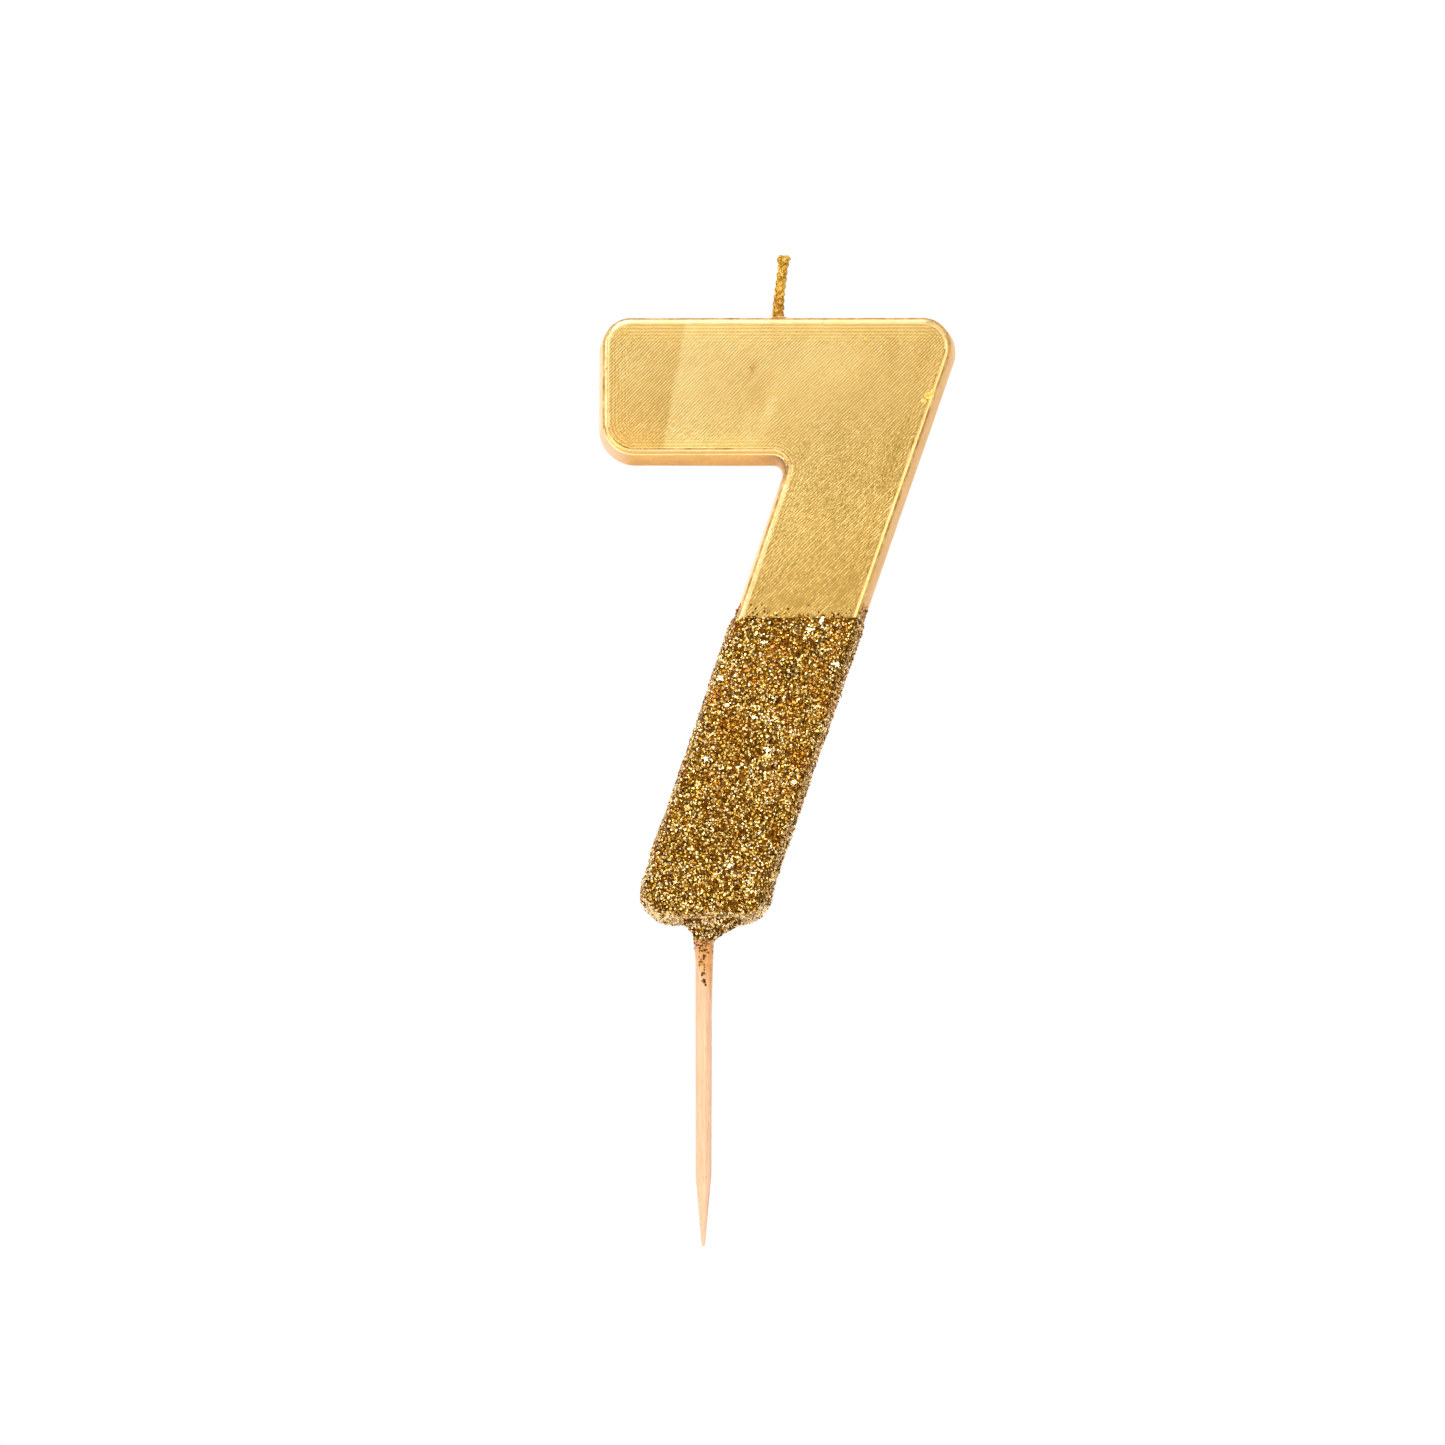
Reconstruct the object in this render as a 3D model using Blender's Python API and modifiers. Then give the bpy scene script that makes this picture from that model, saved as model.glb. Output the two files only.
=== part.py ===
"""Number birthday candle, figure 7.

A cast wax figure with drafted sides, a dipped skin of glue and glitter round the
lower stem, a three-ply plaited cotton wick and a round wooden pick.

Frame: metres. Origin at the centre of the pick's blunt tip. +Z runs up the pick
to the wick, the moulded front face looks along -Y and the flat poured back along +Y.
"""

import math

import bmesh
import bpy
from mathutils import Vector

MM = 0.001

# ---------------------------------------------------------------- driving dimensions, mm
# pick: a 2 mm round skewer
PICK_R = 0.98  # radius at the foot of the wax
PICK_R_LOW = 0.93  # radius where the taper starts
PICK_OUT = 40.3  # length standing out below the foot
PICK_IN = 18.0  # length pushed up inside the stem
PICK_TAPER = 8.6  # length of the sharpened end
PICK_TIP_R = 0.17  # radius of the blunt tip

Z_FOOT = PICK_OUT  # height of the flat that rests on the cake

# figure, measured on its back outline, heights above the foot
TOP = 76.1  # top of the bar
BAR_UNDER = 57.8  # underside of the bar
FIGURE_FOOT = 0.35  # bottom of the wax, above the outside of the glitter
LEFT = -13.13  # left end of the bar
STEM_LEFT = (9.62, 55.85)  # a point on the stem's left side
STEM_LEFT_LEAN = 0.3375  # sideways run per unit of height
STEM_RIGHT = (29.99, 67.1)  # a point on the right side
STEM_RIGHT_LEAN = 0.3476
R_BAR = 4.1  # outer corner radius of the bar
R_BAR_LOW = 4.6  # its lower left corner is a little rounder
R_ELBOW = 1.15  # inside corner under the bar, back outline
R_FOOT_LEFT = 3.75
R_FOOT_RIGHT = 3.4
ARC_STEPS = 8  # chords in each rounded corner

# thickness and edge profile: (inset from the back outline, y)
HALF_THICK = 5.0
WAX_PROFILE = [
    (0.22, 5.00),
    (0.06, 4.94),
    (0.00, 4.78),  # soft edge left by the pour
    (0.58, -4.22),  # drafted wall
    (0.66, -4.26),  # parting step under the rounded edge
    (0.74, -4.52),
    (0.86, -4.78),
    (1.04, -4.95),
    (1.18, -5.00),  # crest of the edge bead
    (1.30, -4.94),  # shallow line just inside the bead
]

# wick: three plies, plaited flat
PLY_R = 0.25
PLAIT_A = 0.50  # half swing across the plait
PLAIT_B = 0.38  # half swing through the plait
PLAIT_PITCH = 4.5  # length of one full crossing cycle
PLAIT_STEPS = 10  # points on each ply per cycle
WICK_CHANNEL_R = 0.88
WICK_TOP = (10.10, 83.50)
WICK_PATH = [  # centre line from the tip down into the stem, above the foot
    WICK_TOP,
    (10.05, 80.60),
    (9.60, 77.60),
    (9.50, 74.00),
    (10.20, 68.50),
    (12.60, 61.50),
    (14.30, 54.00),
    (13.20, 46.00),
    (11.00, 38.50),
]

# dipped skin of glue and glitter
DIP_LINE = 37.95  # top edge above the foot
COAT_LEFT = 0.42  # thickness on each side
COAT_RIGHT = 0.22
COAT_FOOT = 0.35
COAT_FACE = 0.34
COAT_CLEAR = 0.05  # gap to the wax

# glue collar round the pick, hanging below the foot
COLLAR_DROP = 2.1
COLLAR_PLUG = 0.30  # part that fills the opening in the coat's foot
COLLAR_END = (-1.14, 1.40)  # left and right reach at the bottom
COLLAR_TOP = (-2.20, 4.20)  # left and right reach at the foot
COLLAR_DEPTH = (1.18, 2.35)  # half depth at the bottom and at the foot
COLLAR_BORE_R = 1.01

# clear film of glue that ran on down the pick
RUN_TOP = 2.16  # below the foot
RUN_END = 10.2
RUN_OUTER = (1.22, 1.03)  # outside radius at its top and at its end
RUN_BORE_R = 1.00


# ---------------------------------------------------------------- helpers
def clear_scene():
    for ob in list(bpy.data.objects):
        bpy.data.objects.remove(ob, do_unlink=True)


def collection(name):
    coll = bpy.data.collections.new(name)
    bpy.context.scene.collection.children.link(coll)
    return coll


def material(name, colour, roughness, metallic=0.0):
    mat = bpy.data.materials.new(name)
    mat.use_nodes = True
    bsdf = mat.node_tree.nodes["Principled BSDF"]
    bsdf.inputs["Base Color"].default_value = (*colour, 1.0)
    bsdf.inputs["Roughness"].default_value = roughness
    bsdf.inputs["Metallic"].default_value = metallic
    mat.diffuse_color = (*colour, 1.0)
    return mat


def add_mesh(name, bm, coll, mat=None, sharp=32.0):
    mesh = bpy.data.meshes.new(name)
    bmesh.ops.recalc_face_normals(bm, faces=bm.faces)
    bm.to_mesh(mesh)
    bm.free()
    for poly in mesh.polygons:
        poly.use_smooth = True
    mesh.set_sharp_from_angle(angle=math.radians(sharp))
    ob = bpy.data.objects.new(name, mesh)
    coll.objects.link(ob)
    if mat:
        mesh.materials.append(mat)
    return ob


def as_cutter(ob):
    ob.hide_render = True
    ob.display_type = "WIRE"
    return ob


def cut(ob, tool, label):
    mod = ob.modifiers.new(label, "BOOLEAN")
    mod.operation = "DIFFERENCE"
    mod.solver = "EXACT"
    mod.object = tool
    return mod


def loft(rings):
    """A closed body through rings that all have the same number of points."""
    bm = bmesh.new()
    rows = [[bm.verts.new(p) for p in ring] for ring in rings]
    n = len(rows[0])
    for low, high in zip(rows, rows[1:]):
        for i in range(n):
            j = (i + 1) % n
            bm.faces.new((low[i], low[j], high[j], high[i]))
    bm.faces.new(rows[0][::-1])
    bm.faces.new(rows[-1])
    return bm


def meet(p, d, q, e):
    """Where two lines in the figure's plane cross: point and direction of each."""
    det = d[0] * e[1] - d[1] * e[0]
    t = ((q[0] - p[0]) * e[1] - (q[1] - p[1]) * e[0]) / det
    return (p[0] + d[0] * t, p[1] + d[1] * t)


def rounded(corners, radii, steps=ARC_STEPS):
    """Outline through sharp corners, each rounded by its own radius (0 keeps it sharp)."""
    out = []
    n = len(corners)
    for i, (c, r) in enumerate(zip(corners, radii)):
        c = Vector(c)
        if r <= 0:
            out.append((c.x, c.y))
            continue
        a = (Vector(corners[i - 1]) - c).normalized()
        b = (Vector(corners[(i + 1) % n]) - c).normalized()
        half = 0.5 * a.angle(b)
        start = c + a * (r / math.tan(half))
        end = c + b * (r / math.tan(half))
        centre = c + (a + b).normalized() * (r / math.sin(half))
        u, v = start - centre, end - centre
        turn = math.atan2(u.x * v.y - u.y * v.x, u.dot(v))
        for k in range(steps + 1):
            w = turn * k / steps
            out.append(
                (
                    centre.x + u.x * math.cos(w) - u.y * math.sin(w),
                    centre.y + u.x * math.sin(w) + u.y * math.cos(w),
                )
            )
    return out


def side_line(point, lean, shift):
    """A leaning side of the stem, moved sideways by shift measured square to it."""
    run = math.hypot(1.0, lean)
    return (point[0] + shift * run, point[1]), (lean, 1.0)


def figure_outline(inset):
    """The figure 7, counter-clockwise seen from the front, heights above the foot."""
    level = (1.0, 0.0)
    sl = side_line(STEM_LEFT, STEM_LEFT_LEAN, inset)
    sr = side_line(STEM_RIGHT, STEM_RIGHT_LEAN, -inset)
    top, under, foot = TOP - inset, BAR_UNDER + inset, FIGURE_FOOT + inset
    left = LEFT + inset
    corners = [
        (left, top),
        (left, under),
        meet((0, under), level, *sl),
        meet((0, foot), level, *sl),
        meet((0, foot), level, *sr),
        meet((0, top), level, *sr),
    ]
    radii = [
        R_BAR - inset,
        R_BAR_LOW - inset,
        R_ELBOW + inset,
        R_FOOT_LEFT - inset,
        R_FOOT_RIGHT - inset,
        R_BAR - inset,
    ]
    return rounded(corners, radii)


def stem_outline(inset, grow, head):
    """The lower stem alone up to the level `head`; `grow` thickens left, right and foot."""
    level = (1.0, 0.0)
    sl = side_line(STEM_LEFT, STEM_LEFT_LEAN, inset - grow[0])
    sr = side_line(STEM_RIGHT, STEM_RIGHT_LEAN, grow[1] - inset)
    foot = FIGURE_FOOT + inset - grow[2]
    corners = [
        meet((0, head), level, *sl),
        meet((0, foot), level, *sl),
        meet((0, foot), level, *sr),
        meet((0, head), level, *sr),
    ]
    side = 0.5 * (grow[0] + grow[2])
    radii = [0.0, R_FOOT_LEFT - inset + side, R_FOOT_RIGHT - inset + side, 0.0]
    return rounded(corners, radii)


def place(outline, y):
    return [Vector((x, y, z + Z_FOOT)) * MM for x, z in outline]


def smooth_path(points, count):
    """Catmull-Rom path through the points, resampled to `count` equal steps."""
    pts = [Vector((x, 0.0, z)) for x, z in points]
    pts = [pts[0] * 2 - pts[1]] + pts + [pts[-1] * 2 - pts[-2]]
    dense = []
    for i in range(1, len(pts) - 2):
        p0, p1, p2, p3 = pts[i - 1 : i + 3]
        for k in range(40):
            t = k / 40
            dense.append(
                0.5
                * (
                    2 * p1
                    + (p2 - p0) * t
                    + (2 * p0 - 5 * p1 + 4 * p2 - p3) * t * t
                    + (3 * p1 - p0 - 3 * p2 + p3) * t**3
                )
            )
    dense.append(pts[-2].copy())
    run = [0.0]
    for a, b in zip(dense, dense[1:]):
        run.append(run[-1] + (b - a).length)
    out, j = [], 0
    for k in range(count + 1):
        s = run[-1] * k / count
        while j < len(run) - 2 and run[j + 1] < s:
            j += 1
        f = (s - run[j]) / (run[j + 1] - run[j])
        out.append(dense[j].lerp(dense[j + 1], f))
    return out, run[-1]


def tube_curve(name, points, radius, coll, radii=None, sides=2):
    """A round tube along a polyline, with flat ends, turned into a mesh object."""
    data = bpy.data.curves.new(name, "CURVE")
    data.dimensions = "3D"
    data.bevel_depth = radius * MM
    data.bevel_resolution = sides
    data.use_fill_caps = True
    spline = data.splines.new("POLY")
    spline.points.add(len(points) - 1)
    for i, p in enumerate(points):
        spline.points[i].co = (p.x * MM, p.y * MM, p.z * MM, 1.0)
        spline.points[i].radius = radii[i] if radii else 1.0
    source = bpy.data.objects.new(name + "_path", data)
    coll.objects.link(source)
    mesh = bpy.data.meshes.new_from_object(source)
    bpy.data.objects.remove(source, do_unlink=True)
    bm = bmesh.new()
    bm.from_mesh(mesh)
    bmesh.ops.remove_doubles(bm, verts=bm.verts, dist=0.00001)
    return bm


def revolve(name, profile, coll, mat, segments=20):
    """Screw a half profile of (radius, height) points about the pick's axis."""
    mesh = bpy.data.meshes.new(name)
    verts = [(r * MM, 0.0, z * MM) for r, z in reversed(profile)]
    n = len(verts)
    edges = [(i, i + 1) for i in range(n - 1)]
    if profile[0][0] > 0:
        edges.append((n - 1, 0))
    mesh.from_pydata(verts, edges, [])
    ob = bpy.data.objects.new(name, mesh)
    coll.objects.link(ob)
    if mat:
        mesh.materials.append(mat)
    screw = ob.modifiers.new("lathe", "SCREW")
    screw.axis = "Z"
    screw.angle = math.tau
    screw.steps = segments
    screw.render_steps = segments
    screw.use_merge_vertices = True
    screw.merge_threshold = 0.00001
    screw.use_smooth_shade = True
    return ob


# ---------------------------------------------------------------- pieces
def make_wax(parts, cutters, mat, path):
    rings = [place(figure_outline(i), y) for i, y in WAX_PROFILE]
    wax = add_mesh("wax_body", loft(rings), parts, mat)

    # blind socket for the pick, up from the foot
    socket = revolve(
        "pick_socket",
        [
            (0.0, Z_FOOT - 3.0),
            (PICK_R + 0.06, Z_FOOT - 3.0),
            (PICK_R + 0.06, Z_FOOT + PICK_IN + 0.10),
            (0.0, Z_FOOT + PICK_IN + 0.30),
        ],
        cutters,
        None,
        segments=20,
    )
    cut(wax, as_cutter(socket), "pick_socket")

    # channel the wick is cast into, with an end just past the wick's own
    lead = path[0] + (path[0] - path[1]).normalized() * 1.0
    tail = path[-1] + (path[-1] - path[-2]).normalized() * 0.4
    bm = tube_curve(
        "wick_channel", [lead] + path[::4] + [tail], WICK_CHANNEL_R, cutters, sides=2
    )
    cut(wax, as_cutter(add_mesh("wick_channel", bm, cutters)), "wick_channel")
    return wax


def make_wick(parts, path, length, mat):
    """Three plies; each swings across the plait once a cycle and through it twice."""
    count = len(path) - 1
    for ply in range(3):
        points, radii = [], []
        for k, centre in enumerate(path):
            ahead = path[min(k + 1, count)] - path[max(k - 1, 0)]
            tangent = ahead.normalized()
            across = Vector((tangent.z, 0.0, -tangent.x))
            phase = math.tau * (length * k / count / PLAIT_PITCH + ply / 3.0)
            flare = 1.0 + 0.28 * max(0.0, 1.0 - length * k / count / 1.6)
            points.append(
                centre
                + across * (PLAIT_A * flare * math.sin(phase))
                + Vector((0.0, PLAIT_B * flare * math.sin(2.0 * phase), 0.0))
            )
            radii.append(1.0 + 0.1 * (flare - 1.0))
        bm = tube_curve("wick_ply_%d" % (ply + 1), points, PLY_R, parts, radii, sides=1)
        add_mesh("wick_ply_%d" % (ply + 1), bm, parts, mat, sharp=50.0)


def make_pick(parts, mat):
    taper = PICK_TAPER
    span = PICK_R_LOW - PICK_TIP_R
    profile = [(0.0, 0.0), (PICK_TIP_R, 0.0)]
    for f in (0.25, 0.5, 0.75, 1.0):
        # slightly bowed taper, as a sharpened dowel has
        profile.append((PICK_TIP_R + span * f**0.92, taper * f))
    profile += [
        (PICK_R, Z_FOOT - 4.0),
        (PICK_R, Z_FOOT + PICK_IN - 0.25),
        (PICK_R - 0.25, Z_FOOT + PICK_IN),
        (0.0, Z_FOOT + PICK_IN),
    ]
    return revolve("pick", profile, parts, mat)


def make_coat(parts, cutters, mat):
    grow = (COAT_LEFT, COAT_RIGHT, COAT_FOOT)
    skin = [
        (0.28, HALF_THICK + COAT_FACE),
        (0.00, HALF_THICK + COAT_FACE - 0.28),
        (0.58, -4.25),
        (0.90, -5.02),
        (1.26, -(HALF_THICK + COAT_FACE)),
    ]
    rings = [place(stem_outline(i, grow, DIP_LINE), y) for i, y in skin]
    coat = add_mesh("glitter_coat", loft(rings), parts, mat)

    # hollow it to the shape of the wax inside, a hair larger all round
    g = (COAT_CLEAR,) * 3
    core = []
    for i, y in WAX_PROFILE:
        if y > 4.9:
            core.append((i, y + COAT_CLEAR))
        elif i > 1.2:
            core.append((i, -HALF_THICK - COAT_CLEAR))
        else:
            core.append((i, y - COAT_CLEAR * (0.5 if y < -4.4 else 0.0)))
    rings = [place(stem_outline(i, g, DIP_LINE + 4.0), y) for i, y in core]
    hollow = as_cutter(add_mesh("coat_hollow", loft(rings), cutters))
    cut(coat, hollow, "hollow")

    # opening in the foot that the glue collar fills
    reach = (COLLAR_TOP[0] - COAT_CLEAR, COLLAR_TOP[1] + COAT_CLEAR)
    depth = COLLAR_DEPTH[1] + COAT_CLEAR
    rings = [oval(reach, depth, z, 28) for z in (-1.0, 1.2)]
    opening = as_cutter(add_mesh("foot_opening", loft(rings), cutters))
    cut(coat, opening, "foot_opening")
    return coat


def oval(reach, depth, z, steps):
    """An oval ring below the foot: left and right reach from the pick's axis, half depth."""
    cx, rx = 0.5 * (reach[0] + reach[1]), 0.5 * (reach[1] - reach[0])
    return [
        Vector(
            (
                cx + rx * math.cos(math.tau * k / steps),
                depth * math.sin(math.tau * k / steps),
                Z_FOOT + z,
            )
        )
        * MM
        for k in range(steps)
    ]


def make_collar(parts, cutters, mat):
    """A meniscus that sags more on the right than on the left."""
    rings = [oval(COLLAR_TOP, COLLAR_DEPTH[1], COLLAR_PLUG, 28)]
    for k in range(8):
        u = k / 7.0
        left = COLLAR_END[0] + (COLLAR_TOP[0] - COLLAR_END[0]) * (1.0 - u) ** 1.9
        right = COLLAR_END[1] + (COLLAR_TOP[1] - COLLAR_END[1]) * (1.0 - u) ** 1.45
        depth = COLLAR_DEPTH[0] + (COLLAR_DEPTH[1] - COLLAR_DEPTH[0]) * (1.0 - u) ** 1.7
        rings.append(oval((left, right), depth, -COLLAR_DROP * u, 28))
    collar = add_mesh("glue_collar", loft(rings[::-1]), parts, mat)
    bore = revolve(
        "collar_bore",
        [
            (0.0, Z_FOOT - 4.0),
            (COLLAR_BORE_R, Z_FOOT - 4.0),
            (COLLAR_BORE_R, Z_FOOT + 2.0),
            (0.0, Z_FOOT + 2.0),
        ],
        cutters,
        None,
    )
    cut(collar, as_cutter(bore), "pick_bore")
    return collar


def make_run(parts, mat):
    """Thin sleeve of glue, thickest under the collar and feathering out down the pick."""
    drop = RUN_END - RUN_TOP
    outer = []
    for k in range(6):
        u = k / 5.0
        r = RUN_OUTER[1] + (RUN_OUTER[0] - RUN_OUTER[1]) * (1.0 - u) ** 1.3
        outer.append((r, Z_FOOT - RUN_TOP - drop * u))
    inner = [
        (RUN_BORE_R, Z_FOOT - RUN_END),
        (RUN_BORE_R, Z_FOOT - RUN_TOP),
    ]
    return revolve("glue_run", (outer + inner)[::-1], parts, mat)


def main():
    clear_scene()
    parts = collection("number_candle")
    cutters = collection("cutters")

    gold = material("gold_paint_on_wax", (0.80, 0.58, 0.24), 0.36, 0.85)
    glitter = material("gold_glitter", (0.52, 0.33, 0.09), 0.42, 0.90)
    glue = material("cured_glue", (0.62, 0.36, 0.12), 0.18)
    film = material("glue_film", (0.86, 0.58, 0.30), 0.15)
    wood = material("birch_wood", (0.86, 0.66, 0.43), 0.62)
    cotton = material("painted_cotton", (0.66, 0.46, 0.14), 0.50, 0.55)

    length = smooth_path(WICK_PATH, 10)[1]
    count = int(round(length / PLAIT_PITCH * PLAIT_STEPS))
    path, length = smooth_path(WICK_PATH, count)
    path = [p + Vector((0.0, 0.0, Z_FOOT)) for p in path]

    make_wax(parts, cutters, gold, path)
    make_wick(parts, path, length, cotton)
    make_pick(parts, wood)
    make_coat(parts, cutters, glitter)
    make_collar(parts, cutters, glue)
    make_run(parts, film)


main()
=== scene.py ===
import math
import random

import bpy
import numpy as np
from mathutils import Matrix, Vector, noise
from mathutils.geometry import delaunay_2d_cdt


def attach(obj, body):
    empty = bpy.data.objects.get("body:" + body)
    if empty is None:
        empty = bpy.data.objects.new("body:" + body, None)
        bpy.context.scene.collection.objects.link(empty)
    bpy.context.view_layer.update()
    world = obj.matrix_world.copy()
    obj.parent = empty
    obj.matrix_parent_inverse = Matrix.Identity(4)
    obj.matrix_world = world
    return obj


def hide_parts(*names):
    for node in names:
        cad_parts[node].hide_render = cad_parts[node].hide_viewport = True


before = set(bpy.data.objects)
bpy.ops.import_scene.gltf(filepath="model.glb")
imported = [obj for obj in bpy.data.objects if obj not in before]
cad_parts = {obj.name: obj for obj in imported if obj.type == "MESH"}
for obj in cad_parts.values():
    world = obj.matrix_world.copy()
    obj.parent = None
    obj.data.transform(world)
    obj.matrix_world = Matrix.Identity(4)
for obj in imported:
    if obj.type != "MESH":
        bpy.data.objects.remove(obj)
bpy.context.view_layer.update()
MM = 0.001
ZF = 40.3  # foot of the figure above the pick's tip

# ------------------------------------------------------------------ figure geometry, mm
TOP, UNDER, FOOT, LEFT = 76.1, 57.8, 0.35, -13.13
SL, SL_LEAN = (9.62, 55.85), 0.3375
SR, SR_LEAN = (30.06, 67.1), 0.3476
R_BAR, R_BAR_LOW, R_ELBOW, R_FL, R_FR = 4.1, 4.6, 1.15, 3.75, 3.4
DIP = 37.95


def meet(p, d, q, e):
    det = d[0] * e[1] - d[1] * e[0]
    t = ((q[0] - p[0]) * e[1] - (q[1] - p[1]) * e[0]) / det
    return (p[0] + d[0] * t, p[1] + d[1] * t)


def side(point, lean, shift):
    return (point[0] + shift * math.hypot(1, lean), point[1]), (lean, 1.0)


def rounded(corners, radii, arc_steps, edge_steps, closed=True):
    """Rounded outline with a fixed number of points on every arc and straight."""
    out = []
    n = len(corners)
    ends = []
    for i in range(n):
        c, r = Vector(corners[i]), radii[i]
        if r <= 0:
            ends.append((c, c, None, None, 0))
            continue
        a = (Vector(corners[i - 1]) - c).normalized()
        b = (Vector(corners[(i + 1) % n]) - c).normalized()
        half = 0.5 * a.angle(b)
        s, e = c + a * (r / math.tan(half)), c + b * (r / math.tan(half))
        o = c + (a + b).normalized() * (r / math.sin(half))
        u, v = s - o, e - o
        ends.append((s, e, o, u, math.atan2(u.x * v.y - u.y * v.x, u.dot(v))))
    for i in range(n):
        s, e, o, u, turn = ends[i]
        if o is None:
            out.append((s.x, s.y))
        else:
            for k in range(arc_steps[i] + 1):
                w = turn * k / arc_steps[i]
                out.append((o.x + u.x * math.cos(w) - u.y * math.sin(w), o.y + u.x * math.sin(w) + u.y * math.cos(w)))
        if i == n - 1 and not closed:
            break
        nxt = ends[(i + 1) % n][0]
        for k in range(1, edge_steps[i]):
            p = e.lerp(nxt, k / edge_steps[i])
            out.append((p.x, p.y))
    return out


def figure(inset, fine=1.0):
    sl, sr = side(SL, SL_LEAN, inset), side(SR, SR_LEAN, -inset)
    top, under, foot, left = TOP - inset, UNDER + inset, FOOT + inset, LEFT + inset
    lv = (1.0, 0.0)
    corners = [(left, top), (left, under), meet((0, under), lv, *sl), meet((0, foot), lv, *sl),
               meet((0, foot), lv, *sr), meet((0, top), lv, *sr)]
    radii = [max(r - inset, 0.08) for r in (R_BAR, R_BAR_LOW, -1, R_FL, R_FR, R_BAR)]
    radii[2] = R_ELBOW + inset
    arcs = [18, 18, 14, 20, 12, 20]
    edges = [22, 40, 120, 18, 150, 84]
    return rounded(corners, radii, arcs, edges)


def stem(inset, grow, head):
    lv = (1.0, 0.0)
    sl, sr = side(SL, SL_LEAN, inset - grow[0]), side(SR, SR_LEAN, grow[1] - inset)
    foot = FOOT + inset - grow[2]
    corners = [meet((0, head), lv, *sl), meet((0, foot), lv, *sl), meet((0, foot), lv, *sr), meet((0, head), lv, *sr)]
    g = 0.5 * (grow[0] + grow[2])
    return rounded(corners, [0, R_FL - inset + g, R_FR - inset + g, 0], [0, 16, 10, 0], [90, 14, 90, 26])


# ------------------------------------------------------------------ mesh helpers
def new_object(name, verts, faces, mats, smooth=True, face_mats=None):
    mesh = bpy.data.meshes.new(name)
    mesh.from_pydata([tuple(v) for v in verts], [], faces)
    for m in mats:
        mesh.materials.append(m)
    if face_mats is not None:
        mesh.polygons.foreach_set("material_index", np.asarray(face_mats, np.int32))
    if smooth:
        mesh.polygons.foreach_set("use_smooth", np.ones(len(mesh.polygons), bool))
    mesh.update()
    ob = bpy.data.objects.new(name, mesh)
    bpy.context.scene.collection.objects.link(ob)
    return ob


def fill(points, spacing, margin):
    """Triangles over a 2D outline with an even grid of extra points inside it.
    Returns the extra points and triangles; outline points keep their numbers."""
    n = len(points)
    P = np.array(points)
    lo, hi = P.min(0), P.max(0)
    rows = np.arange(lo[1] + spacing * 0.5, hi[1], spacing * 0.866)
    cand = []
    for k, z in enumerate(rows):
        xs = np.arange(lo[0] + (0.5 * spacing if k % 2 else 0.0), hi[0], spacing)
        cand.append(np.stack([xs, np.full_like(xs, z)], 1))
    cand = np.concatenate(cand)
    A, B = P, np.roll(P, -1, 0)
    x, z = cand[:, 0][:, None], cand[:, 1][:, None]
    cross = ((A[:, 1] > z) != (B[:, 1] > z)) & (
        x < (B[:, 0] - A[:, 0]) * (z - A[:, 1]) / np.where(B[:, 1] == A[:, 1], 1e-12, B[:, 1] - A[:, 1]) + A[:, 0])
    inside = cross.sum(1) % 2 == 1
    cand = cand[inside]
    d = B - A
    L = (d ** 2).sum(1)
    x, z = cand[:, 0][:, None], cand[:, 1][:, None]
    t = np.clip(((x - A[:, 0]) * d[:, 0] + (z - A[:, 1]) * d[:, 1]) / L, 0, 1)
    dist = np.hypot(x - A[:, 0] - t * d[:, 0], z - A[:, 1] - t * d[:, 1]).min(1)
    cand = cand[dist > margin]
    pts = [Vector(p) for p in points] + [Vector(p) for p in cand]
    res = delaunay_2d_cdt(pts, [], [list(range(n))], 1, 1e-7, True)
    vo, fo, ids = res[0], res[2], res[3]
    where = [i[0] if i else -1 for i in ids]
    tris = [[where[v] for v in f] for f in fo if all(where[v] >= 0 for v in f)]
    full = np.concatenate([P, cand])
    mid = full[np.array(tris)].mean(1)
    x, z = mid[:, 0][:, None], mid[:, 1][:, None]
    cross = ((A[:, 1] > z) != (B[:, 1] > z)) & (
        x < (B[:, 0] - A[:, 0]) * (z - A[:, 1]) / np.where(B[:, 1] == A[:, 1], 1e-12, B[:, 1] - A[:, 1]) + A[:, 0])
    ok = cross.sum(1) % 2 == 1
    return [tuple(c) for c in cand], [t for t, k in zip(tris, ok) if k]


def nz(x, y, z, scale, seed=0.0):
    return noise.noise(Vector((x * scale + seed, y * scale - seed * 0.7, z * scale + seed * 0.3)))


def winding_out(verts, faces):
    """Reverse every face if the closed mesh encloses a negative volume."""
    v = np.asarray(verts, float)
    vol = 0.0
    for f in faces:
        a = v[f[0]]
        for i in range(1, len(f) - 1):
            vol += float(np.dot(a, np.cross(v[f[i]], v[f[i + 1]])))
    return [f[::-1] for f in faces] if vol < 0 else faces


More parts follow.
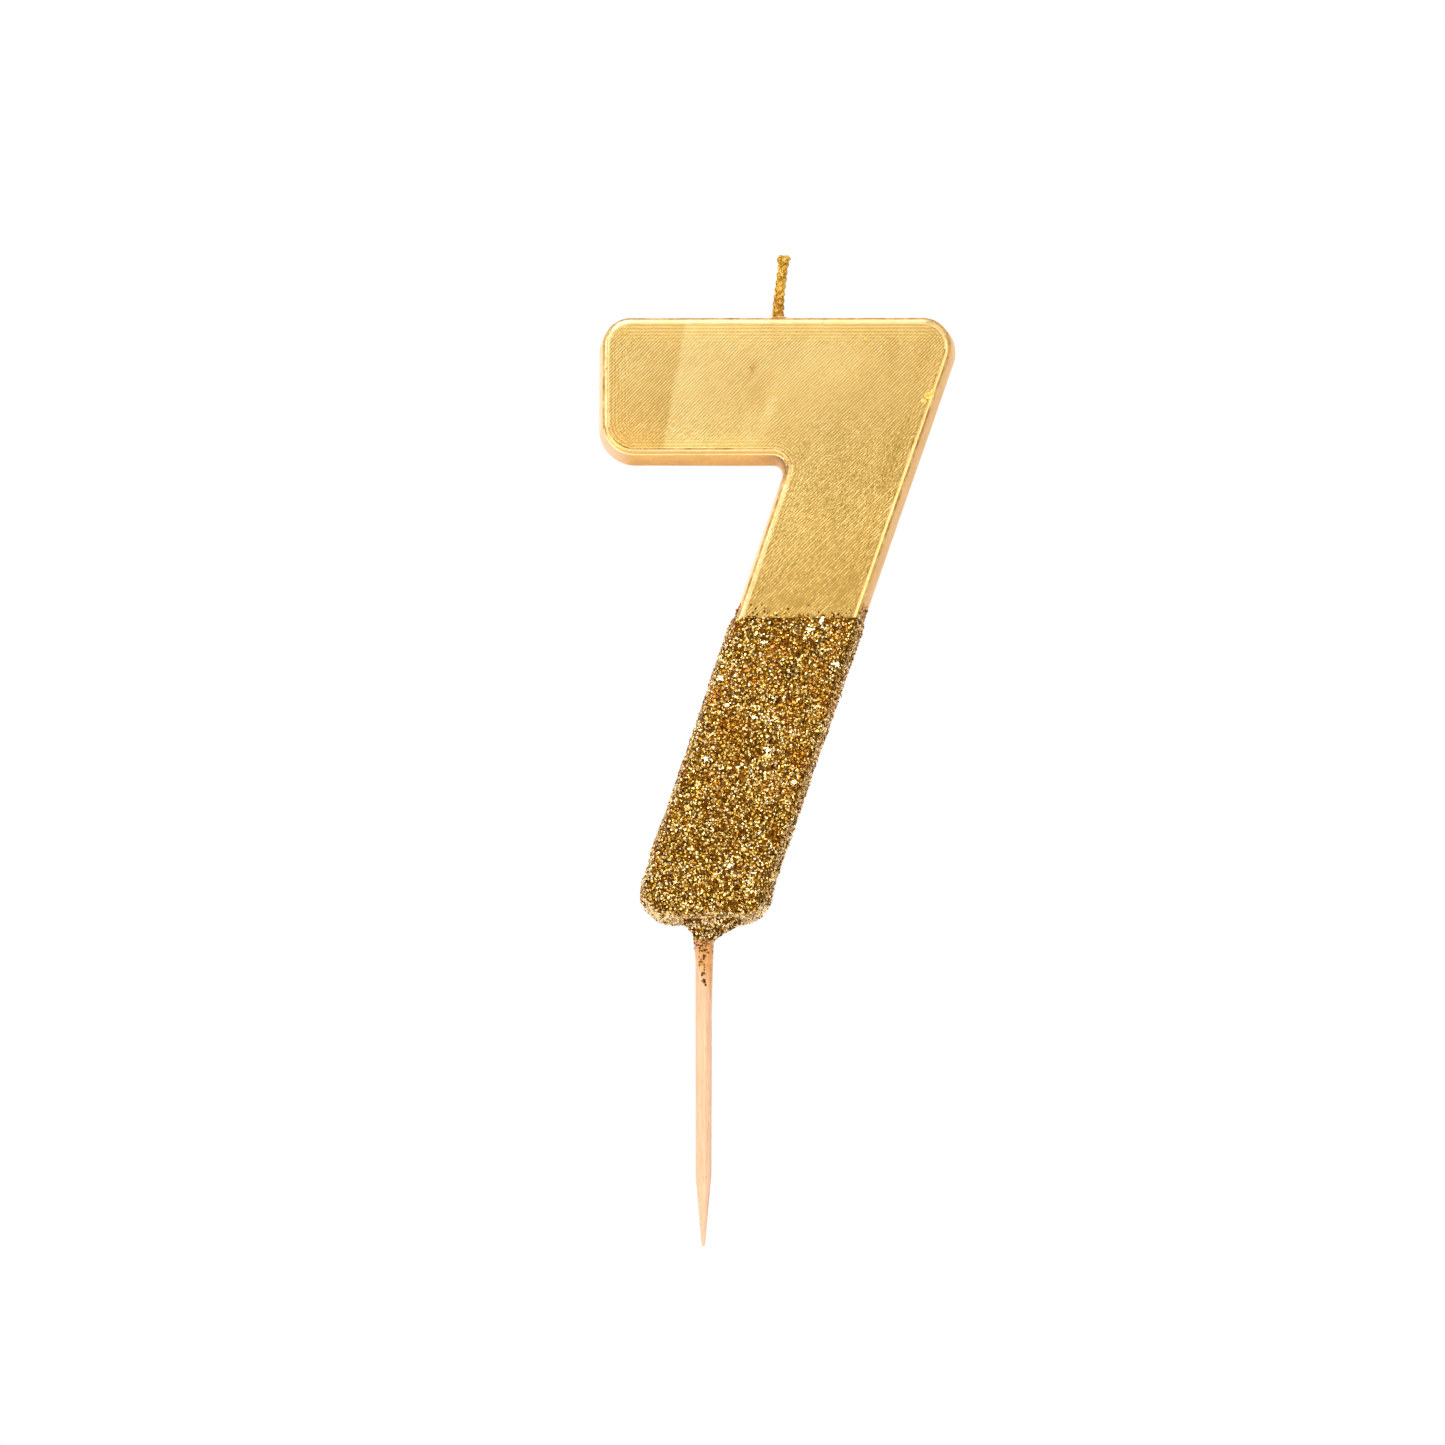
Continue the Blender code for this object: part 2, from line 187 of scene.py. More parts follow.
# ------------------------------------------------------------------ node helpers
class Nodes:
    def __init__(self, name):
        self.mat = bpy.data.materials.new(name)
        self.mat.use_nodes = True
        self.t = self.mat.node_tree
        self.b = self.t.nodes["Principled BSDF"]

    def add(self, kind, **props):
        n = self.t.nodes.new(kind)
        for k, v in props.items():
            setattr(n, k, v)
        return n

    def link(self, a, b):
        self.t.links.new(a, b)

    def put(self, socket, value):
        if hasattr(value, "links"):
            self.link(value, socket)
        else:
            socket.default_value = value

    def math(self, op, a, b=0.0, c=None, clamp=False):
        n = self.add("ShaderNodeMath", operation=op, use_clamp=clamp)
        self.put(n.inputs[0], a)
        self.put(n.inputs[1], b)
        if c is not None:
            self.put(n.inputs[2], c)
        return n.outputs[0]

    def coords(self):
        return self.add("ShaderNodeTexCoord").outputs["Object"]

    def scaled(self, vec, scale, loc=(0, 0, 0), rot=(0, 0, 0)):
        n = self.add("ShaderNodeMapping")
        self.put(n.inputs["Vector"], vec)
        n.inputs["Location"].default_value = loc
        n.inputs["Rotation"].default_value = rot
        n.inputs["Scale"].default_value = scale
        return n.outputs[0]

    def noise(self, vec, scale, detail=3.0, rough=0.55, distortion=0.0):
        n = self.add("ShaderNodeTexNoise")
        self.put(n.inputs["Vector"], vec)
        n.inputs["Scale"].default_value = scale
        n.inputs["Detail"].default_value = detail
        n.inputs["Roughness"].default_value = rough
        n.inputs["Distortion"].default_value = distortion
        return n.outputs["Fac"]

    def ramp(self, fac, stops, interp="LINEAR"):
        n = self.add("ShaderNodeValToRGB")
        n.color_ramp.interpolation = interp
        while len(n.color_ramp.elements) < len(stops):
            n.color_ramp.elements.new(0.5)
        for e, (p, c) in zip(n.color_ramp.elements, stops):
            e.position = p
            e.color = (*c, 1.0) if len(c) == 3 else c
        self.put(n.inputs["Fac"], fac)
        return n.outputs["Color"]

    def range(self, v, a, b, c, d, clamp=True):
        n = self.add("ShaderNodeMapRange", clamp=clamp)
        self.put(n.inputs["Value"], v)
        for k, x in zip(("From Min", "From Max", "To Min", "To Max"), (a, b, c, d)):
            n.inputs[k].default_value = x
        return n.outputs["Result"]

    def mix(self, fac, a, b, blend="MIX"):
        n = self.add("ShaderNodeMix", data_type="RGBA", blend_type=blend)
        self.put(n.inputs[0], fac)
        self.put(n.inputs[6], a if hasattr(a, "links") else (*a, 1.0))
        self.put(n.inputs[7], b if hasattr(b, "links") else (*b, 1.0))
        return n.outputs[2]

    def bump(self, height, distance, strength=1.0, normal=None):
        n = self.add("ShaderNodeBump")
        self.put(n.inputs["Height"], height)
        n.inputs["Distance"].default_value = distance
        n.inputs["Strength"].default_value = strength
        if normal is not None:
            self.link(normal, n.inputs["Normal"])
        return n.outputs["Normal"]

    def set(self, **values):
        names = {"color": "Base Color", "rough": "Roughness", "metal": "Metallic", "normal": "Normal",
                 "coat": "Coat Weight", "coat_rough": "Coat Roughness", "spec": "Specular IOR Level",
                 "sss": "Subsurface Weight", "tint": "Specular Tint", "emission": "Emission Color", "emit": "Emission Strength"}
        for k, v in values.items():
            s = self.b.inputs[names[k]]
            if k in ("color", "emission", "tint") and not hasattr(v, "links"):
                v = (*v, 1.0)
            self.put(s, v)
        return self.mat


def lin(r, g, b):
    """sRGB 0-255 to linear."""
    return tuple((c / 255 / 12.92) if c / 255 <= 0.04045 else ((c / 255 + 0.055) / 1.055) ** 2.4 for c in (r, g, b))


# ------------------------------------------------------------------ materials
RASTER = 0.00030  # pitch of the mould's milled lines


def soft_spot(m, x, z, cx, cz, rx, rz, lean=0.0):
    """1 at a place on the face and fading to 0: an ellipse that may lean to the right."""
    dz = m.math("SUBTRACT", z, (cz + ZF) * MM)
    dx = m.math("SUBTRACT", m.math("SUBTRACT", x, cx * MM), m.math("MULTIPLY", dz, lean))
    dx = m.math("DIVIDE", dx, rx * MM)
    dz = m.math("DIVIDE", dz, rz * MM)
    r2 = m.math("ADD", m.math("MULTIPLY", dx, dx), m.math("MULTIPLY", dz, dz))
    return m.math("EXPONENT", m.math("MULTIPLY", r2, -1.0))


def gold_face():
    m = Nodes("gold_paint_milled")
    co = m.coords()
    sep = m.add("ShaderNodeSeparateXYZ")
    m.link(co, sep.inputs[0])
    x, z = sep.outputs[0], sep.outputs[2]
    u = m.math("MULTIPLY", m.math("SUBTRACT", x, z), 0.70711)
    v = m.math("MULTIPLY", m.math("ADD", x, z), 0.70711)
    wob = m.noise(co, 130.0, 2.0)
    u2 = m.math("ADD", u, m.math("MULTIPLY", wob, 0.0003))
    line = m.math("SINE", m.math("MULTIPLY", u2, 2 * math.pi / RASTER))
    comb = m.add("ShaderNodeCombineXYZ")
    m.put(comb.inputs[0], m.math("MULTIPLY", u, 3300.0))
    m.put(comb.inputs[1], m.math("MULTIPLY", v, 620.0))
    dash = m.noise(comb.outputs[0], 1.0, 2.0)
    amp = m.range(dash, 0.32, 0.64, 0.05, 1.15)
    broad = m.noise(co, 75.0, 2.0, 0.5)
    amp = m.math("MULTIPLY", amp, m.range(broad, 0.35, 0.65, 0.55, 1.0))
    ridge = m.math("MULTIPLY", line, amp)
    # cut deeper and less evenly down the stem than across the bar
    strong = m.range(z, (ZF + 66.0) * MM, (ZF + 52.0) * MM, 0.0, 1.0)
    dash2 = m.add("ShaderNodeCombineXYZ")
    m.put(dash2.inputs[0], m.math("MULTIPLY", u2, 5200.0))
    m.put(dash2.inputs[1], m.math("MULTIPLY", v, 2300.0))
    spark = m.noise(dash2.outputs[0], 1.0, 2.0, 0.55)
    spark = m.math("SUBTRACT", m.range(spark, 0.40, 0.66, 0.0, 1.0), 0.35)
    grain = m.noise(co, 5200.0, 3.0, 0.6)
    mottle = m.noise(co, 1500.0, 3.0, 0.6)
    patch = m.noise(co, 90.0, 3.0, 0.5, 0.6)
    # the paint went on in two sweeps that meet in a leaning line near the left end
    s = m.math("SUBTRACT", m.math("SUBTRACT", x, -4.96 * MM), m.math("MULTIPLY", m.math("SUBTRACT", z, (59.3 + ZF) * MM), 0.174))
    s = m.math("ADD", s, m.math("MULTIPLY", m.math("SUBTRACT", broad, 0.5), 0.0006))
    sweep = m.range(s, -0.00026, 0.00026, 0.0, 1.0)
    fade = m.math("MULTIPLY", sweep, m.range(s, 0.0, 0.012, 1.0, 0.0))
    zone = m.math("MULTIPLY", m.math("SUBTRACT", sweep, 1.0), m.math("MULTIPLY", m.range(s, -0.0042, 0.0, 0.05, 0.20), m.range(z, (ZF + 65.0) * MM, (ZF + 75.0) * MM, 1.0, 0.35)))
    zone = m.math("ADD", zone, m.math("MULTIPLY", fade, 0.17))
    # painted light and shade: soft brighter and darker patches stand in for how the uneven face reflects the light
    for (cx, cz, rx, rz, lean, gain) in [
            (8.0, 63.6, 0.75, 3.0, 0.32, 0.22), (5.6, 62.2, 0.8, 2.0, 0.1, 0.14), (1.0, 60.2, 4.5, 0.9, 0.0, 0.06),
            (12.0, 70.5, 6.0, 5.0, 0.0, 0.10), (23.6, 71.0, 0.6, 3.0, 0.05, -0.12), (27.6, 70.0, 1.6, 4.0, 0.2, -0.10),
            (18.0, 41.5, 1.5, 7.0, 0.34, -0.22), (23.5, 57.0, 1.0, 7.0, 0.34, -0.16), (11.0, 50.0, 1.2, 9.0, 0.34, 0.08),
            (12.6, 40.0, 8.0, 7.0, 0.34, -0.32), (-11.4, 68.0, 1.2, 4.0, 0.0, -0.08)]:
        zone = m.math("ADD", zone, m.math("MULTIPLY", soft_spot(m, x, z, cx, cz, rx, rz, lean), gain))
    # a few passes of the cutter run along the top and the underside of the bar
    rows = m.math("MAXIMUM", m.range(z, (ZF + TOP - 3.9) * MM, (ZF + TOP - 1.6) * MM, 0.0, 1.0),
                  m.math("MULTIPLY", m.range(z, (ZF + UNDER + 1.4) * MM, (ZF + UNDER + 3.0) * MM, 0.8, 0.0), m.range(x, 0.0070, 0.0095, 1.0, 0.0)))
    rows = m.math("MULTIPLY", rows, m.range(z, (ZF + UNDER) * MM, (ZF + UNDER + 0.5) * MM, 0.0, 1.0))
    calm = m.math("SUBTRACT", 1.0, m.math("MULTIPLY", rows, 0.8))
    ridge = m.math("MULTIPLY", ridge, calm)
    spark = m.math("MULTIPLY", spark, calm)
    # the milled grooves are darker in the colour: painted shade standing in for their fine relief
    tone = m.math("ADD", m.math("MULTIPLY", ridge, m.range(strong, 0.0, 1.0, 0.62, 0.66)), m.range(patch, 0.3, 0.7, 0.42, 0.54))
    tone = m.math("ADD", tone, m.math("MULTIPLY", spark, m.range(strong, 0.0, 1.0, 0.22, 0.48)))
    tone = m.math("ADD", tone, m.math("MULTIPLY", m.range(grain, 0.3, 0.7, -0.10, 0.10), calm))
    tone = m.math("ADD", tone, m.range(mottle, 0.3, 0.7, -0.05, 0.05))
    tone = m.math("ADD", tone, zone)
    # painted light and shade: the cutter's rows also show as light and dark bands in the colour
    row = m.math("SINE", m.math("MULTIPLY", m.math("ADD", z, m.math("MULTIPLY", wob, 0.00012)), 2 * math.pi / 0.00042))
    row = m.math("MULTIPLY", m.math("MULTIPLY", row, rows), m.range(mottle, 0.35, 0.6, 0.5, 1.0))
    tone = m.math("ADD", tone, m.math("MULTIPLY", row, 0.17))
    tone = m.math("ADD", tone, m.range(strong, 0.0, 1.0, -0.05, -0.24))
    # painted shade: the face is darker towards its right end
    tone = m.math("SUBTRACT", tone, m.range(x, 0.014, 0.026, 0.0, 0.09))
    col = m.ramp(tone, [(0.0, (0.440, 0.266, 0.060)), (0.35, (0.632, 0.424, 0.127)), (0.62, (0.775, 0.550, 0.203)), (1.0, (0.935, 0.760, 0.385))])
    warm = soft_spot(m, x, z, -11.6, 59.8, 5.2, 4.2)
    warm = m.math("MULTIPLY", warm, m.math("SUBTRACT", 1.0, sweep))
    col = m.mix(m.math("MULTIPLY", warm, 0.55), col, (0.78, 0.42, 0.10))
    # a brown spot and its faint trail
    spot = m.math("ADD", soft_spot(m, x, z, 6.16, 69.1, 0.42, 0.75, 0.25), m.math("MULTIPLY", soft_spot(m, x, z, 6.9, 66.6, 1.0, 1.6, 0.5), 0.35))
    spot = m.math("MULTIPLY", spot, m.range(mottle, 0.35, 0.6, 0.4, 1.0))
    col = m.mix(m.math("MULTIPLY", spot, 0.85), col, (0.46, 0.20, 0.035))
    rough = m.math("ADD", m.range(patch, 0.3, 0.7, 0.36, 0.42), m.range(grain, 0.3, 0.7, -0.04, 0.04))
    rough = m.math("ADD", rough, m.range(strong, 0.0, 1.0, 0.10, 0.0))
    h = m.math("ADD", m.math("MULTIPLY", ridge, 0.6), m.math("MULTIPLY", grain, 0.10))
    h = m.math("ADD", m.math("ADD", h, m.math("MULTIPLY", spark, 0.6)), m.math("MULTIPLY", row, 1.2))
    h = m.math("MULTIPLY", h, m.range(strong, 0.0, 1.0, 0.09, 1.0))
    nrm = m.bump(h, 0.000034, 1.0)
    return m.set(color=col, rough=rough, metal=0.80, normal=nrm)


def gold_wall(name="gold_paint_side", nooks=True):
    """Sides: thinner, smoother paint that lets the warm wax show. Painted reflection makes the wall paler towards its
    back edge; painted shade makes faces that look down darker and more orange.
    """
    m = Nodes(name)
    co = m.coords()
    drift = m.noise(m.scaled(co, (1, 0.7, 1)), 210.0, 4.0, 0.55, 0.3)
    grain = m.noise(co, 5200.0, 2.0, 0.6)
    streak = m.noise(m.scaled(co, (1.0, 0.22, 1.0)), 1700.0, 3.0)
    px = m.add("ShaderNodeSeparateXYZ")
    m.link(co, px.inputs[0])
    deep = m.range(px.outputs[1], -0.0048, 0.0048, 0.0, 1.0)  # 0 at the front edge, 1 at the back
    # painted reflection: the wall is paler towards its back edge
    tone = m.math("ADD", m.math("MULTIPLY", drift, 0.6), m.math("MULTIPLY", streak, 0.4))
    col = m.ramp(m.math("ADD", tone, m.math("MULTIPLY", m.math("SUBTRACT", deep, 0.5), 0.30)),
                 [(0.22, (0.66, 0.33, 0.075)), (0.42, (0.78, 0.44, 0.130)), (0.6, (0.87, 0.54, 0.22)), (0.78, (0.93, 0.63, 0.33))])
    geo = m.add("ShaderNodeNewGeometry")
    sep = m.add("ShaderNodeSeparateXYZ")
    m.link(geo.outputs["Normal"], sep.inputs[0])
    # painted shade: faces that look down take a darker, more orange colour, darkest towards the back
    under = m.range(sep.outputs[2], -0.66, -0.98, 0.0, 1.0)
    low = m.ramp(m.math("SUBTRACT", tone, m.math("MULTIPLY", m.math("SUBTRACT", deep, 0.5), 0.34)),
                 [(0.25, (0.66, 0.31, 0.045)), (0.5, (0.79, 0.40, 0.070)), (0.75, (0.92, 0.53, 0.12))])
    col = m.mix(under, col, low)
    # paler where the lower left corner turns to the light
    blush = m.math("MULTIPLY", m.range(sep.outputs[0], -0.10, -0.60, 0.0, 1.0), m.range(sep.outputs[2], 0.10, -0.45, 0.0, 0.75))
    blush = m.math("MAXIMUM", blush, m.range(sep.outputs[0], -0.5, -0.9, 0.0, 0.5))
    col = m.mix(m.math("MULTIPLY", blush, m.math("SUBTRACT", 1.0, m.math("MULTIPLY", soft_spot(m, px.outputs[0], px.outputs[2], 10.5, 57.0, 2.6, 2.6), 1.0 if nooks else 0.0))), col, (0.95, 0.72, 0.52))
    # brown specks in the inner corner, and painted shade: the corner is darkened towards dark brown, most at the front
    corner_specks_and_shade = soft_spot(m, px.outputs[0], px.outputs[2], 10.4, 57.0, 2.7, 2.5)
    corner_specks_and_shade = m.math("MULTIPLY", corner_specks_and_shade, m.range(px.outputs[1], -0.0030, 0.0040, 1.0 if nooks else 0.0, 0.0))
    flecks_and_shade = m.math("MULTIPLY", corner_specks_and_shade, m.range(m.noise(co, 1900.0, 3.0, 0.7), 0.45, 0.58, 0.7, 1.0))
    col = m.mix(m.math("MULTIPLY", flecks_and_shade, 0.95), col, (0.20, 0.085, 0.015))
    rough = m.range(grain, 0.3, 0.7, 0.34, 0.46)
    h = m.math("ADD", m.math("MULTIPLY", grain, 0.4), m.math("MULTIPLY", streak, 0.8))
    return m.set(color=col, rough=rough, metal=m.range(flecks_and_shade, 0.0, 0.6, 0.35, 0.0), normal=m.bump(h, 0.00002, 0.8), spec=m.range(flecks_and_shade, 0.0, 0.6, 0.3, 0.03), tint=(1.0, 0.78, 0.50))


def gold_edge():
    """The rounded edge: smooth paint, faintly rippled by the cutter's steps. Its colour is paler than the face's as
    painted highlight, and darker and more orange where it faces down or to the right as painted shade.
    """
    m = Nodes("gold_paint_edge")
    co = m.coords()
    drift = m.noise(co, 300.0, 3.0)
    grain = m.noise(co, 3800.0, 3.0, 0.6)
    bead = m.noise(co, 2600.0, 1.0, 0.5)
    tone = m.math("ADD", m.math("MULTIPLY", drift, 0.4), m.math("ADD", m.math("MULTIPLY", grain, 0.25), m.math("MULTIPLY", bead, 0.35)))
    col = m.ramp(tone, [(0.30, (0.78, 0.52, 0.17)), (0.5, (0.92, 0.70, 0.32)), (0.70, (1.0, 0.86, 0.55))])
    geo = m.add("ShaderNodeNewGeometry")
    sep = m.add("ShaderNodeSeparateXYZ")
    m.link(geo.outputs["Normal"], sep.inputs[0])
    # painted shade: darker and more orange where the edge faces down
    below = m.range(sep.outputs[2], 0.1, -0.7, 0.0, 0.86)
    col = m.mix(below, col, (0.62, 0.325, 0.070))
    # beaded, where the cutter's steps show down both sides
    aside = m.range(m.math("ABSOLUTE", sep.outputs[0]), 0.22, 0.45, 0.0, 1.0)
    col = m.mix(m.math("MULTIPLY", aside, m.range(bead, 0.42, 0.56, 0.45, 0.0)), col, (0.64, 0.40, 0.12))
    # painted shade: more orange where the edge faces right
    col = m.mix(m.range(sep.outputs[0], 0.0, 0.6, 0.0, 0.60), col, (0.86, 0.53, 0.15))
    px = m.add("ShaderNodeSeparateXYZ")
    m.link(co, px.inputs[0])
    # brown specks near the inner corner, with painted shade darkening the edge there
    corner_specks_and_shade = soft_spot(m, px.outputs[0], px.outputs[2], 10.4, 57.2, 1.7, 1.7)
    flecks_and_shade = m.math("MULTIPLY", corner_specks_and_shade, m.range(m.noise(co, 1900.0, 3.0, 0.7), 0.48, 0.58, 0.25, 1.0))
    col = m.mix(m.math("MULTIPLY", flecks_and_shade, 0.75), col, (0.22, 0.085, 0.012))
    h = m.math("ADD", m.math("ADD", m.math("MULTIPLY", grain, 0.35), drift), m.math("MULTIPLY", bead, 0.9))
    return m.set(color=col, rough=m.range(grain, 0.3, 0.7, 0.26, 0.36), metal=0.82, spec=0.3, tint=(1.0, 0.86, 0.58), normal=m.bump(h, 0.000005, 0.8))


def gold_line(name, painted_shade, deep=1.0):
    """The fine step at each side of the rounded edge. The brown stretches are painted shade; the others are pale."""
    m = Nodes(name)
    co = m.coords()
    a = m.noise(co, 700.0, 3.0, 0.6)
    b = m.noise(co, 3600.0, 3.0, 0.6)
    tone = m.math("ADD", m.math("MULTIPLY", a, 0.6), m.math("MULTIPLY", b, 0.4))
    dark = m.ramp(tone, [(p, tuple(c * deep for c in rgb)) for p, rgb in ((0.32, (0.22, 0.085, 0.012)), (0.5, (0.38, 0.170, 0.032)), (0.68, (0.62, 0.33, 0.085)))])
    pale = m.ramp(tone, [(0.32, (0.90, 0.64, 0.24)), (0.68, (1.0, 0.86, 0.50))])
    k = m.range(a, 0.3, 0.7, 0.95, 0.65) if painted_shade else m.range(b, 0.3, 0.7, 0.0, 0.2)
    return m.set(color=m.mix(k, pale, dark), rough=m.range(b, 0.3, 0.7, 0.34, 0.5), metal=0.0 if painted_shade else 0.6,
                 spec=0.06 if painted_shade else 0.3, normal=m.bump(b, 0.000008, 0.8))


def glue_material():
    # the glue is dark brown, and its darkness also stands in as painted shade for the gaps between the flakes
    m = Nodes("glue_under_glitter")
    co = m.coords()
    a = m.noise(co, 900.0, 4.0, 0.6)
    b = m.noise(co, 4200.0, 3.0, 0.6)
    col = m.ramp(m.math("ADD", m.math("MULTIPLY", a, 0.6), m.math("MULTIPLY", b, 0.4)),
                 [(0.3, (0.050, 0.013, 0.0)), (0.5, (0.14, 0.046, 0.001)), (0.7, (0.32, 0.125, 0.006))])
    return m.set(color=col, rough=m.range(b, 0.3, 0.7, 0.45, 0.7), metal=0.4, spec=0.15,
                 normal=m.bump(m.math("ADD", a, m.math("MULTIPLY", b, 0.5)), 0.00025, 1.0))


def flake_material(name, stops, rough=(0.10, 0.30), metal=1.0, heat=0.6, rim=(1.0, 0.80, 0.42)):
    """Foil flakes: each one has its own shade and its own sheen."""
    m = Nodes(name)
    geo = m.add("ShaderNodeNewGeometry")
    rnd = geo.outputs["Random Per Island"]
    co = m.coords()
    zone = m.noise(co, 170.0, 3.0, 0.6)
    t = m.math("ADD", m.math("MULTIPLY", rnd, 0.86), m.range(zone, 0.3, 0.7, -0.04, 0.18), clamp=True)
    col = m.ramp(t, stops)
    warm = m.noise(m.scaled(co, (1, 1, 1), (0.31, 0.1, 0.7)), 210.0, 3.0)
    px = m.add("ShaderNodeSeparateXYZ")
    m.link(co, px.inputs[0])
    upper = m.range(px.outputs[2], (ZF + 6.0) * MM, (ZF + 26.0) * MM, 0.15, 1.0)
    col = m.mix(m.math("MULTIPLY", upper, m.range(warm, 0.46, 0.66, 0.0, heat)), col, (0.62, 0.24, 0.020))
    fine = m.noise(co, 9000.0, 2.0)
    r2 = m.math("FRACT", m.math("MULTIPLY", rnd, 37.7))
    rg = m.math("ADD", m.range(r2, 0, 1, rough[0], rough[1]), m.range(fine, 0.3, 0.7, -0.03, 0.05))
    return m.set(color=col, rough=rg, metal=metal, spec=0.3, tint=rim, normal=m.bump(fine, 0.000012, 0.6))


def wood_material():
    m = Nodes("birch")
    co = m.coords()
    fibre = m.noise(m.scaled(co, (1.0, 1.0, 0.035)), 3600.0, 4.0, 0.62)
    ring = m.noise(m.scaled(co, (1.0, 1.0, 0.02)), 900.0, 2.0, 0.5, 0.6)
    pore = m.noise(m.scaled(co, (1.0, 1.0, 0.08)), 7000.0, 2.0, 0.5)
    tone = m.math("ADD", m.math("MULTIPLY", fibre, 0.55), m.math("MULTIPLY", ring, 0.45))
    col = m.ramp(tone, [(0.26, lin(194, 141, 100)), (0.44, lin(220, 175, 138)), (0.60, lin(230, 189, 156)), (0.8, lin(241, 208, 182))])
    col = m.mix(m.range(pore, 0.61, 0.70, 0.0, 0.55), col, lin(196, 138, 84))
    h = m.math("ADD", m.math("MULTIPLY", fibre, 0.7), m.math("MULTIPLY", pore, -0.3))
    return m.set(color=col, rough=m.range(fibre, 0.3, 0.7, 0.50, 0.68), normal=m.bump(h, 0.00009, 0.8), spec=0.35)


def film_material():
    m = Nodes("glue_film")
    co = m.coords()
    fibre = m.noise(m.scaled(co, (1.0, 1.0, 0.05)), 3000.0, 3.0, 0.6)
    blot = m.noise(co, 700.0, 3.0, 0.6)
    tone = m.math("ADD", m.math("MULTIPLY", fibre, 0.5), m.math("MULTIPLY", blot, 0.5))
    col = m.ramp(tone, [(0.3, lin(168, 104, 44)), (0.5, lin(206, 142, 74)), (0.7, lin(230, 172, 106))])
    px = m.add("ShaderNodeSeparateXYZ")
    m.link(co, px.inputs[0])
    low = m.math("ADD", m.math("ADD", px.outputs[2], m.math("MULTIPLY", blot, 0.003)), m.math("MULTIPLY", px.outputs[0], 2.6))
    thin = m.range(low, (ZF - 2.0) * MM, (ZF - 8.0) * MM, 0.0, 0.96)
    col = m.mix(thin, col, m.ramp(fibre, [(0.3, lin(212, 164, 118)), (0.6, lin(234, 196, 156))]))
    return m.set(color=col, rough=m.range(blot, 0.3, 0.7, 0.26, 0.46), normal=m.bump(blot, 0.00012, 0.7), coat=0.3, coat_rough=0.15)


def cotton_material():
    m = Nodes("gold_painted_cotton")
    co = m.coords()
    fib = m.noise(m.scaled(co, (1.0, 1.0, 0.55)), 6500.0, 3.0, 0.65)
    blot = m.noise(m.scaled(co, (1.0, 1.0, 0.7)), 1900.0, 3.0, 0.6)
    tone = m.math("ADD", m.math("MULTIPLY", fib, 0.55), m.math("MULTIPLY", blot, 0.45))
    col = m.ramp(tone, [(0.34, lin(92, 54, 4)), (0.45, lin(176, 126, 22)), (0.54, lin(230, 188, 72)), (0.62, lin(253, 230, 150)), (0.72, lin(255, 250, 225))])
    return m.set(color=col, rough=m.range(fib, 0.3, 0.7, 0.28, 0.55), metal=0.35, normal=m.bump(fib, 0.00006, 0.9))


def wax_bare():
    m = Nodes("bare_wax")
    co = m.coords()
    a = m.noise(co, 1600.0, 3.0)
    col = m.ramp(a, [(0.3, lin(232, 178, 108)), (0.6, lin(250, 212, 160)), (0.8, lin(255, 232, 200))])
    return m.set(color=col, rough=m.range(a, 0.3, 0.7, 0.25, 0.45), normal=m.bump(a, 0.00008, 0.6), sss=0.1)


# ------------------------------------------------------------------ the wax figure
def wax_profile():
    """(inset, y, slot) from the poured back, down the drafted wall, round the edge and on to the face.
    Slots: 0 face, 1 edge, 2 wall, 3 back, 4 and 5 the thin lines outside and inside the edge."""
    prof = [(0.30, 5.0, 3), (0.20, 4.995, 3), (0.11, 4.97, 2), (0.04, 4.91, 2), (0.0, 4.80, 2)]
    for k in range(1, 25):
        t = k / 24
        prof.append((0.565 * t, 4.80 - (4.80 + 4.46) * t, 2))
    # a fine step, then an eased chamfer whose middle is nearly flat, then the step down to the face
    prof += [(0.60, -4.50, 4), (0.655, -4.535, 4), (0.70, -4.555, 4), (0.73, -4.585, 4)]
    i, y, steps = 0.73, -4.585, 16
    for k in range(steps):
        t = (k + 0.5) / steps
        w = math.radians(24 + 24 * min(t / 0.16, 1.0) + 20 * t + 14 * max((t - 0.86) / 0.14, 0.0))
        i += 0.47 / steps
        y -= 0.47 / steps / math.tan(w)
        prof.append((i, y, 1))
    prof += [(1.225, y + 0.010, 5), (1.28, y + 0.022, 5), (1.34, y + 0.014, 5), (1.38, y, 5)]
    flat = y
    # shallow cutter passes that follow the edge
    base, pitch = 1.38, 0.42
    for k in range(1, 43):
        i = base + pitch * 6 * k / 42
        deep = 0.030 * (1 - 0.6 * k / 42)
        prof.append((i, flat - deep * (1 - math.cos(2 * math.pi * (i - base) / pitch)) * 0.5, 0))
    return prof


FACE_Y = wax_profile()[-1][1]


def ripple(x, y, z):
    """How far the hand-poured casting wanders from flat."""
    return nz(x, y, z, 0.09, 3.1) * 0.05 + nz(x, y, z, 0.35, 9.7) * 0.012


def on_face(x, z, proud=0.0):
    """Y of a mark that stands a little proud of the face at (x, height above the foot)."""
    return FACE_Y + ripple(x, FACE_Y, z) - proud


